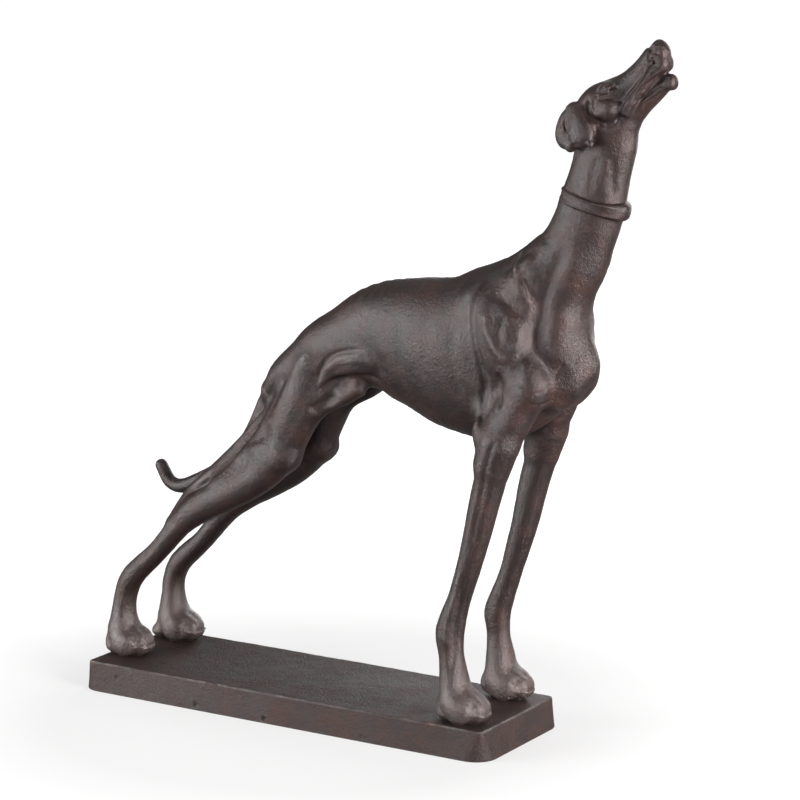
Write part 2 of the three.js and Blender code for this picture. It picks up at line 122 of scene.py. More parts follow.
# %% Legs and paws
BLADE = [
    [151, 19, 303, 13, 14, 10], [171, 24, 284, 17, 18, 13], [190, 27, 262, 15, 18, 12.5],
    [203, 27, 247, 11, 14, 12],
]
UPPER_ARM = [
    [201, 27, 251, 11, 15, 11], [191, 29, 229, 13, 18, 12.5], [179, 32, 207, 12.5, 17, 12.5],
    [172, 34, 190, 11, 13, 11.5],
]
FORE_LEG = [
    [179, 34, 205, 14, 15, 12.5], [173.5, 34, 188, 12.6, 12, 11], [166.3, 34, 162, 11.4, 11, 10.3],
    [157.3, 34, 126, 9.8, 9.6, 9.2], [147, 34, 92, 8.5, 8.5, 8.6], [141.5, 34, 76, 9.4, 9.8, 9.5],
    [139, 34, 62, 9.4, 11.6, 10], [140, 34, 46, 8.8, 9.6, 9.2], [143, 34, 27, 10, 12, 12],
    [145, 34, 15, 12, 13, 14],
]
FORE_PAW = [
    [138, 34, 9, 9, 9, 12], [147, 34, 13, 12, 13, 15], [156, 34, 12, 10.5, 12, 14.5],
    [162, 34, 10, 8.5, 10, 12],
]
THIGH = [
    [14, 18, 238, 16, 17, 12], [5, 20, 215, 14, 21, 14], [-6, 22, 190, 11.5, 20, 14],
    [-15, 23, 172, 11, 18, 12],
]
HAM = [
    [-14, 12, 222, 12, 9.5, 11], [-29, 16, 187, 12, 12, 12], [-49, 19, 163, 11.5, 11.5, 11],
    [-72, 22, 145, 9.5, 9.5, 10],
]
SHANK = [
    [-14, 23, 174, 13, 15, 12], [-38, 25, 154, 13.5, 14, 11.5], [-64, 27, 138, 12.5, 13.5, 11],
    [-87, 28, 125, 11, 12.5, 10], [-108, 28, 109.5, 9.5, 9.5, 9], [-131.5, 28, 84.5, 8.3, 8, 8.3],
    [-154.5, 28, 62, 8.2, 10, 9], [-162, 28, 47, 8, 9.5, 8.8], [-164.5, 28, 34, 8.6, 10, 9.8],
    [-164.5, 28, 20, 11, 14, 12.5],
]
HIND_PAW = [
    [-171, 28, 9, 9, 9, 12], [-163, 28, 12.5, 11.5, 12.5, 14.5], [-154, 28, 11.5, 10, 11.5, 14],
    [-148, 28, 10, 8.5, 10, 12],
]
# The dog's left legs stand a few millimetres off the right ones.
FORE_LEG_SHIFT = [0, 0, -0.5, -0.5, -0.5, -0.5, -1.5, -2, -3, -4.5]
HIND_LEG_SHIFT = [0, 0, 0.5, 1.5, 2.5, 3.5, 3.5, 3.5, 4.5, 5.5]
FORE_PAW_SHIFT = -4.5
HIND_PAW_SHIFT = 6
print("leg tables:", sum(map(len, (BLADE, UPPER_ARM, FORE_LEG, FORE_PAW, THIGH, HAM, SHANK, HIND_PAW))))

# %% [markdown]
# ## Muscles, knuckles and knobs
# What isn't a limb is a swelling: an egg with its own three half lengths, tipped in the side view
# and melted into what it touches. Each row is middle x, y, z, half lengths along, across and up,
# the tip in degrees, and how softly it melts in, in millimetres.

# %% Swellings
MIDDLE_SWELLINGS = [
    [8, 0, 260, 24, 20, 13, 35, 8],  # the loin
    [222, 0, 262, 16, 12, 16, 0, 8],  # the point of the breastbone
    [283.8, 0, 482.8, 8.4, 6.4, 5.8, -62, 2],  # the nose
]
PAIRED_SWELLINGS = [
    [180.5, 30, 281, 23, 6, 13, -62, 8],  # the almond muscle on the shoulder
    [187, 20, 316, 20, 5.5, 9, 72, 9],  # the blade's front edge
    [165, 33, 211, 8, 8, 12, 15, 5],  # the elbow
    [167, 24, 224, 15, 9, 17, 0, 6],  # between the upper arm and the ribs
    [210, 12.5, 245, 11, 10, 15, 10, 8],  # the breast
    [47, 22, 249, 24, 5, 8, 14, 10],  # the flank fold
    [-30, 25, 168, 12, 9, 13, 0, 6],  # the knee
    [-97, 25, 124, 15, 6, 6, 42, 8],  # the tendon above the heel
    [-168.5, 28, 1.5, 9, 11, 4, 0, 4],  # the web under the hind heel
    [247, 9.5, 455.5, 7, 4, 4.2, 30, 4],  # the brow
    [250, 10.5, 442.5, 9, 6, 8, 40, 4],  # the cheek
    [238.5, 11.5, 449, 5.5, 4, 4.5, 0, 4],  # the temple
    [224, 17, 415.5, 3.5, 3.5, 3.5, 0, 3],  # the ear's rear fold
]
TOES = [
    [5.5, -12, 9.5, 4.8, 9.5], [9, -4.6, 10.5, 5.4, 11.5], [9, 4.6, 10.5, 5.4, 11.5],
    [5.5, 12, 9.5, 4.8, 9.5],
]
TOE_HEIGHT, TOE_TIP, TOE_SOFT = 8, -22, 5
COLLAR_AT = np.array([233.6, 0, 377.0])
COLLAR_REACH, COLLAR_WIDE = 26.2, 19.4
COLLAR_BAND, COLLAR_ROUND, COLLAR_TILT = 9.0, 1.6, 13.6

# %% [markdown]
# ## From table to surface
# A field gives every point in space one number: below zero inside the iron, above zero outside,
# and roughly the distance in millimetres near the skin. Fields melt together with a rounded
# minimum, which is what a sculptor's thumb does where a leg meets a body. The surface is where the
# blended field is zero. All of it is array arithmetic, so a million points are one calculation.

# %% A limb's field
SAMPLES = 5


def spline(rows):
    """A curve through every row, and its slope. Between rows b and c, with a before and d after,
    a share t of the way is half of 2b + (c-a)t + (2a-5b+4c-d)tt + (3b-a-3c+d)ttt."""
    rows = np.asarray(rows, float)
    ends = np.vstack([2 * rows[0] - rows[1], rows, 2 * rows[-1] - rows[-2]])
    a, b, c, d = (ends[i : len(rows) - 1 + i, None] for i in range(4))
    t = (np.arange(SAMPLES) / SAMPLES)[None, :, None]
    k1, k2, k3 = c - a, 2 * a - 5 * b + 4 * c - d, 3 * b - a - 3 * c + d
    at = 0.5 * (2 * b + k1 * t + k2 * t**2 + k3 * t**3)
    slope = 0.5 * (k1 + 2 * k2 * t + 3 * k3 * t**2)
    width = rows.shape[1]
    return (
        np.vstack([at.reshape(-1, width), rows[-1:]]),
        np.vstack([slope.reshape(-1, width), 0.5 * (ends[-1:] - ends[-3:-2])]),
    )


def unit(vectors):
    """Each vector over its own length."""
    return vectors / np.linalg.norm(vectors, axis=1, keepdims=True)


def limb(rows, soft, stouter=0.0):
    """The nearest point of the curve gives the oval section that counts. With q the point in that
    section's own axes, its share is the length of q over the section's reaches, and the field is
    the distance to the curve times (1 - 1/share). `stouter` widens the upper half."""
    samples, slope = spline(rows)
    at, reach = samples[:, :3], samples[:, 3:6]
    along = unit(slope[:, :3])
    across = unit(np.array([0, 1, 0]) - along * along[:, 1:2])
    sections = np.hstack([at, along, across, np.cross(along, across), reach])

    def field(p):
        best = np.full(len(p), np.inf)
        nearest = np.zeros(len(p), int)
        share = np.zeros(len(p))
        for i, edge in enumerate(np.diff(at, axis=0)):
            off = p - at[i]
            t = np.clip(off @ edge / (edge @ edge), 0, 1)
            gap = off - t[:, None] * edge
            gap = np.einsum("ij,ij->i", gap, gap)
            closer = gap < best
            best = np.where(closer, gap, best)
            nearest[closer] = i
            share = np.where(closer, t, share)
        row = sections[nearest] * (1 - share[:, None]) + sections[nearest + 1] * share[:, None]
        off = p - row[:, :3]
        end, side, front = (np.einsum("ij,ij->i", off, row[:, k : k + 3]) for k in (3, 6, 9))
        high = np.where(front > 0, row[:, 12], row[:, 13])
        wide = row[:, 14] * (1 + stouter * np.clip(front / high, -1, 1))
        oval = np.sqrt((side / wide) ** 2 + (front / high) ** 2 + (end / np.minimum(wide, high)) ** 2)
        return np.linalg.norm(off, axis=1) * (1 - 1 / (oval + 1e-9))

    far = reach.max(1)[:, None]
    return field, soft, (at - far).min(0) - soft - 6, (at + far).max(0) + soft + 6


# %% A swelling's field
def swelling(row):
    """The share is the length of the turned offset over the three half lengths, and the field is
    the distance to the middle times (1 - 1/share)."""
    middle, half, tilt, soft = np.array(row[:3]), row[3:6], math.radians(row[6]), row[7]
    cos, sin = math.cos(tilt), math.sin(tilt)

    def field(p):
        dx, dy, dz = (p - middle).T
        along, up = cos * dx + sin * dz, cos * dz - sin * dx
        share = np.sqrt((along / half[0]) ** 2 + (dy / half[1]) ** 2 + (up / half[2]) ** 2)
        return np.sqrt(dx**2 + dy**2 + dz**2) * (1 - 1 / (share + 1e-9))

    reach = max(half) + soft + 6
    return field, soft, middle - reach, middle + reach


# %% The collar's field
COLLAR_RIM = 0.7  # how far the two rims stand off the band
COLLAR_SWELL = 2.2  # how far the band bulges under the throat


def collar(soft=0.8):
    """A band around the neck: the field is the distance to a rounded rectangle whose flat face is
    the neck's oval, with a fine rim along both edges, fading into one smooth bulge at the throat."""
    tilt = math.radians(COLLAR_TILT)
    cos, sin = math.cos(tilt), math.sin(tilt)

    def field(p):
        dx, dy, dz = (p - COLLAR_AT).T
        u, w = cos * dx - sin * dz, sin * dx + cos * dz
        angle = np.arctan2(dy / COLLAR_WIDE, u / COLLAR_REACH)
        throat = np.exp(-((angle / 0.75) ** 2))
        half = COLLAR_BAND / 2
        rim = COLLAR_RIM * (1 - throat) * np.exp(-(((np.abs(w) - half + 1.2) / 0.8) ** 2))
        bulge = COLLAR_SWELL * throat * np.clip(1 - (w / (half + 3)) ** 2, 0, 1)
        share = np.hypot(u / COLLAR_REACH, dy / COLLAR_WIDE) + 1e-9
        out = np.hypot(u, dy) * (1 - 1 / share) - rim - bulge + 0.6
        up = np.abs(w) - half - 2.2 * throat
        inner = COLLAR_ROUND * (1 + throat)
        corner = np.hypot(np.maximum(out + inner, 0), np.maximum(up + inner, 0))
        return corner + np.minimum(np.maximum(out + inner, up + inner), 0) - inner

    reach = COLLAR_REACH + 12
    return field, soft, COLLAR_AT - reach, COLLAR_AT + reach


print("collar", 2 * COLLAR_REACH, "by", 2 * COLLAR_WIDE, "mm, band", COLLAR_BAND)

# %% [markdown]
# ## Finer forms
# A statue seen from a step away shows lids, nostrils, lips and the folds of the ears. They are too
# small for the plain solid, so they are added here, as more limbs and swellings, with a few that
# round out the breast and the heels of the paws.

# %% Face, breast and paws in small
FINE_SWELLINGS = [
    [249.5, 12.2, 456.6, 2.4, 1.8, 1.5, 30, 0.6],  # the eyeball
    [286.6, 4.2, 481.5, 1.6, 1.6, 3.4, 15, 1.2],  # the wing of the nostril
    [250.5, 13, 442.5, 7.6, 5.6, 7, 40, 1.6],  # the ball of the cheek
    [209, 13, 254, 13, 9.5, 9, -37, 7],  # the breast, filled out below the neck
    [212, 13, 278, 10, 10, 24, -8, 9],  # the same, up to the neck
    [212, 6, 246, 12, 8, 14, 20, 8],  # the brisket under the breastbone
    [219, 9, 253, 12.5, 9.5, 13, 0, 8],  # the crease between the breasts and the breastbone, filled
    [286.4, 3, 474.6, 4.4, 4.4, 5.4, -10, 2],  # the front of the upper lip
    [291.3, 1.9, 461.2, 4.5, 3.5, 5.1, 0, 1.5],  # the knob at the jaw's tip
    [241.2, 20.5, 419.5, 2.6, 3, 3.4, 20, 1.5],  # the ear's tip
    [137.5, 34, 62, 4.5, 5.5, 6.5, 0, 2.5],  # the pad behind the wrist
    [139.5, 34, 5, 9.5, 12.5, 5.5, 0, 4],  # the heel of the fore paw
    [-169.5, 28, 5, 8.5, 12.5, 5.5, 0, 4],  # the heel of the hind paw
]
UPPER_LID = [
    [240, 11.5, 453, 1.2, 1.2, 1.2], [243.5, 12.4, 457.2, 1.5, 1.5, 1.5], [248, 12.2, 459.4, 1.5, 1.5, 1.5],
    [253.5, 10.8, 460, 1.1, 1.1, 1.1],
]
LOWER_LID = [
    [246, 13, 453.8, 0.9, 0.9, 0.9], [250.5, 13.2, 454.4, 1.1, 1.1, 1.1],
    [254.5, 11.6, 457, 0.9, 0.9, 0.9],
]
print("fine forms:", len(FINE_SWELLINGS), "swellings and 2 lids a side")


# %% Every form in the order it melts in
def on_side(rows, side, shift=0):
    """The same rows on one side of the dog; a left leg (side 1) also moves by its shift."""
    rows = np.array(rows, float)
    rows[:, 0] += np.array(shift) * (side > 0)
    rows[:, 1] *= side
    return rows


def paw(rows, side, shift):
    """The pad of a paw and its four toes."""
    move = shift if side > 0 else 0
    x, y = rows[1][0] + move, side * rows[1][1]
    toes = [
        swelling([x + along, y + across, TOE_HEIGHT, a, b, c, TOE_TIP, TOE_SOFT])
        for along, across, a, b, c in TOES
    ]
    return [limb(on_side(rows, side, shift), 5)] + toes


def hound_forms():
    """All limbs and swellings, as (field, softness, low corner, high corner)."""
    forms = [limb(TRUNK, 6, 0.12), limb(NECK, 22), limb(SKULL, 8), limb(JAW, 4), limb(MOUTH, 2)]
    for side in (-1, 1):
        forms += [
            limb(on_side(BLADE, side), 8),
            limb(on_side(UPPER_ARM, side), 9),
            limb(on_side(FORE_LEG, side, FORE_LEG_SHIFT), 6),
            limb(on_side(THIGH, side), 9),
            limb(on_side(HAM, side), 6),
            limb(on_side(SHANK, side, HIND_LEG_SHIFT), 6),
            limb(on_side(FLEWS, side), 2.5),
            limb(on_side(TAIL_WEB, side), 6),
            limb(on_side(FLANK_SKIN, side), 6),
            *paw(FORE_PAW, side, FORE_PAW_SHIFT),
            *paw(HIND_PAW, side, HIND_PAW_SHIFT),
        ]
        forms += [swelling([x, side * y, *rest]) for x, y, *rest in PAIRED_SWELLINGS]
    forms += [swelling(row) for row in MIDDLE_SWELLINGS] + [limb(TAIL, 4)]
    forms += [limb(on_side(rows, side), 3) for rows in (REAR_EAR, EAR) for side in (-1, 1)]
    for side in (-1, 1):
        forms += [swelling([x, side * y, *rest]) for x, y, *rest in FINE_SWELLINGS]
        forms += [limb(on_side(UPPER_LID, side), 0.8), limb(on_side(LOWER_LID, side), 0.8)]
    return forms + [collar()]


FORMS = hound_forms()
FAR = 60.0


def iron(points):
    """The blended field. Each form counts only inside its own box, and joins by a minimum that is
    rounded off by a quarter of its softness where two forms are equally near."""
    value = np.full(len(points), FAR)
    for field, soft, low, high in FORMS:
        near = np.flatnonzero(((points > low) & (points < high)).all(1))
        if near.size:
            here, other = value[near], field(points[near])
            close = np.maximum(soft - np.abs(here - other), 0) / soft
            value[near] = np.minimum(here, other) - close**2 * soft / 4
    return value


print(len(FORMS), "forms melt into the hound")

# %% [markdown]
# ## The skin
# A grid of points over the whole dog would be slow, so a coarse grid first finds the blocks that
# the skin passes through, and the fine grid is worked out only there. Each fine cell that the skin
# crosses gets one vertex, and each grid edge that it crosses gets one quad around it. Two short
# slides along the field's slope then bring every vertex onto the true surface.

# %% Sample the field near the skin
CELL = 1.35  # millimetres
BLOCK = 4  # fine cells along a coarse block
GRID_LOW, GRID_HIGH = np.array([-192.0, -62, -8]), np.array([306.0, 62, 500])


def grid_points(axes):
    """Every combination of the three axes, as rows."""
    return np.stack([g.ravel() for g in np.meshgrid(*axes, indexing="ij")], 1)


def sample():
    """The fine grid's values: true ones near the skin, and only their sign elsewhere."""
    blocks = np.ceil((GRID_HIGH - GRID_LOW) / (CELL * BLOCK)).astype(int)
    coarse = [GRID_LOW[i] + CELL * BLOCK * np.arange(blocks[i] + 1) for i in range(3)]
    rough = iron(grid_points(coarse)).reshape(blocks + 1)
    corners = np.stack([
        rough[i : blocks[0] + i, j : blocks[1] + j, k : blocks[2] + k]
        for i in (0, 1) for j in (0, 1) for k in (0, 1)
    ])
    near = np.abs(corners).min(0) < 1.2 * CELL * BLOCK

    def finer(block_values):
        for axis in range(3):
            block_values = block_values.repeat(BLOCK, axis)
        return block_values

    shape = blocks * BLOCK + 1
    wanted = np.zeros(shape, bool)
    cells = finer(near)
    for i in (0, 1):
        for j in (0, 1):
            for k in (0, 1):
                wanted[i : shape[0] - 1 + i, j : shape[1] - 1 + j, k : shape[2] - 1 + k] |= cells
    values = np.full(shape, FAR, np.float32)
    values[:-1, :-1, :-1] = finer(np.where(corners[0] < 0, -FAR, FAR).astype(np.float32))
    where = np.argwhere(wanted)
    values[wanted] = iron(GRID_LOW + CELL * where)
    return values, len(where)


def close_pinches(values):
    """A grid face whose corners are inside and outside in turn would pinch the skin. Its outside
    corners are taken in, until no such face is left."""
    found = 1
    while found:
        found = 0
        for first, second in ((0, 1), (1, 2), (0, 2)):
            face = {}
            for p in (0, 1):
                for q in (0, 1):
                    part = [slice(None)] * 3
                    part[first] = slice(p, values.shape[first] - 1 + p)
                    part[second] = slice(q, values.shape[second] - 1 + q)
                    face[p, q] = values[tuple(part)]
            inside = {key: corner < 0 for key, corner in face.items()}
            crossed = (inside[0, 0] == inside[1, 1]) & (inside[0, 1] == inside[1, 0])
            crossed &= inside[0, 0] != inside[0, 1]
            found += int(crossed.sum())
            for key, corner in face.items():
                corner[crossed & ~inside[key]] = -0.1
    return values


VALUES, true_count = sample()
close_pinches(VALUES)
print("grid", VALUES.shape, "with", true_count, "true values")


# %% Mesh the zero of the field
def surface_nets(values, low, cell):
    """One vertex in each crossed cell, at the mean of its crossed edges, and one quad around each
    crossed grid edge, wound so that it faces out."""
    inside = values < 0
    n = np.array(values.shape)
    count = sum(
        inside[i : n[0] - 1 + i, j : n[1] - 1 + j, k : n[2] - 1 + k].astype(np.uint8)
        for i in (0, 1) for j in (0, 1) for k in (0, 1)
    )
    cells = np.argwhere((count > 0) & (count < 8))
    number = np.full(n - 1, -1)
    number[tuple(cells.T)] = np.arange(len(cells))
    total, crossed = np.zeros((len(cells), 3)), np.zeros(len(cells))
    for axis in range(3):
        for p in (0, 1):
            for q in (0, 1):
                start = np.insert([p, q], axis, 0)
                end = np.insert([p, q], axis, 1)
                a, b = values[tuple((cells + start).T)], values[tuple((cells + end).T)]
                cross = (a < 0) != (b < 0)
                point = np.tile(start.astype(float), (cross.sum(), 1))
                point[:, axis] = a[cross] / (a[cross] - b[cross])
                total[cross] += point
                crossed[cross] += 1
    points = low + cell * (cells + total / crossed[:, None])
    quads = []
    for axis in range(3):
        first, second = [slice(1, -1)] * 3, [slice(1, -1)] * 3
        first[axis], second[axis] = slice(0, -1), slice(1, None)
        a, b = inside[tuple(first)], inside[tuple(second)]
        step = np.eye(3, dtype=int)[[(axis + 1) % 3, (axis + 2) % 3]]
        for flip, crossing in ((False, a & ~b), (True, ~a & b)):
            base = np.argwhere(crossing) + step.sum(0)
            backs = (step[0] + step[1], step[1], 0 * step[0], step[0])
            quad = np.stack([number[tuple((base - back).T)] for back in backs], 1)
            quads.append(quad[:, ::-1] if flip else quad)
    return points, np.vstack(quads)


def slide(points, step=0.35):
    """Moves each point by -value times slope over slope squared. The slope comes from four
    offsets at the corners of a tetrahedron: the sum of each offset times the value there."""
    corners = np.array([[1, 1, 1], [1, -1, -1], [-1, 1, -1], [-1, -1, 1]]) * step
    there = np.stack([iron(points + c) for c in corners])
    slope = np.einsum("ki,kj->ij", there, corners) / (4 * step**2)
    value = there.mean(0)
    size = np.maximum((slope**2).sum(1), 0.25)
    return points - np.clip(value[:, None] * slope / size[:, None], -CELL / 3, CELL / 3)


points, quads = surface_nets(VALUES, GRID_LOW, CELL)
for _ in range(2):
    points = slide(points)
print(len(points), "vertices and", len(quads), "quads on the skin")

# %% [markdown]
# ## Keep only the outer skin
# Where forms close over a small hollow, the grid also meshes the hollow. A casting has no sealed
# bubbles to show, so only the largest connected shell is kept.


# %% The largest shell
def largest_shell(points, quads):
    """Labels spread along the quads until they no longer change: each vertex takes the lowest
    label of its quad. The commonest label is the outer skin."""
    label = np.arange(len(points))
    while True:
        low = label[quads].min(1)
        new = label.copy()
        np.minimum.at(new, quads.ravel(), np.repeat(low, 4))
        new = new[new]
        if (new == label).all():
            break
        label = new
    keep = label == np.bincount(label).argmax()
    index = np.cumsum(keep) - 1
    return points[keep], index[quads[keep[quads[:, 0]]]]


before = len(points)
points, quads = largest_shell(points, quads)
print("dropped", before - len(points), "vertices of inner hollows")

# %% [markdown]
# ## Finer triangles where the detail is
# Lips, lids, nostrils and toes need a mesh several times finer than the flanks do. The quads are
# cut into triangles, and those of the head, the collar and the paws are cut again: each edge
# inside such a region gets a point at its middle, which then slides onto the true surface.


# %% Cut the edges of a region in two
def finer_region(points, triangles, chosen):
    """Splits every edge with both ends chosen. A triangle with three such edges becomes four, and
    one with a single such edge becomes two, so no gap opens at the region's border."""
    marked = chosen[triangles]
    whole = triangles[marked.all(1)]
    corner = marked.sum(1) == 2
    part = triangles[corner]
    alone = (~marked[corner]).argmax(1)
    rows = np.arange(len(part))
    a, b, c = (part[rows, (alone + k) % 3] for k in range(3))
    edges = np.vstack([whole[:, [0, 1]], whole[:, [1, 2]], whole[:, [2, 0]], np.stack([b, c], 1)])
    edges, place = np.unique(np.sort(edges, 1), axis=0, return_inverse=True)
    place = place.ravel() + len(points)
    n = len(whole)
    ab, bc, ca, middle = place[:n], place[n : 2 * n], place[2 * n : 3 * n], place[3 * n :]
    split = [
        np.stack([whole[:, 0], ab, ca], 1), np.stack([ab, whole[:, 1], bc], 1),
        np.stack([ca, bc, whole[:, 2]], 1), np.stack([ab, bc, ca], 1),
        np.stack([a, b, middle], 1), np.stack([a, middle, c], 1),
    ]
    new_points = points[edges].mean(1)
    return new_points, np.vstack([triangles[marked.sum(1) < 2], *split])


HEAD_LOW, PAW_HIGH = 404.0, 34.0
COLLAR_NEAR = 15.0  # how far above and below the collar's middle the mesh is cut again
FACE_LOW, FACE_BACK = 430.0, 238.0  # above and in front of these it is cut twice
triangles = np.vstack([quads[:, :3], quads[:, [0, 2, 3]]])
for fine_round in range(2):
    x, y, z = points.T
    chosen = (z > HEAD_LOW) | (np.abs(z - COLLAR_AT[2]) < COLLAR_NEAR) & (x > 200) | (z < PAW_HIGH)
    if fine_round:
        chosen = (z > FACE_LOW) & (x > FACE_BACK)
    extra, triangles = finer_region(points, triangles, chosen)
    points = np.vstack([points, slide(extra, 0.2)])
print("now", len(points), "vertices and", len(triangles), "triangles")


# %% [markdown]
# ## Carving
# The founder's model was carved before it was moulded: grooves between muscles, a ridge down the
# blade, creases at the flank and the lines of the mouth. Each stroke here follows a short curve in
# the side view and pushes the skin in, or pulls it out, with a bell-shaped cross-section that
# fades at both ends. Bump shading could fake these, but then the outline and the light across the
# flanks would stay smooth.


# %% Normals of a mesh
def vertex_normals(points, faces):
    """Each face's normal, from the cross product of its diagonals or sides, summed at its corners."""
    p, corners = points[faces], faces.shape[1]
    if corners == 4:
        cross = np.cross(p[:, 2] - p[:, 0], p[:, 3] - p[:, 1])
    else:
        cross = np.cross(p[:, 1] - p[:, 0], p[:, 2] - p[:, 0])
    normals = np.stack(
        [np.bincount(faces.ravel(), np.repeat(column, corners), len(points)) for column in cross.T], 1
    )
    return normals / np.maximum(np.linalg.norm(normals, axis=1, keepdims=True), 1e-12)


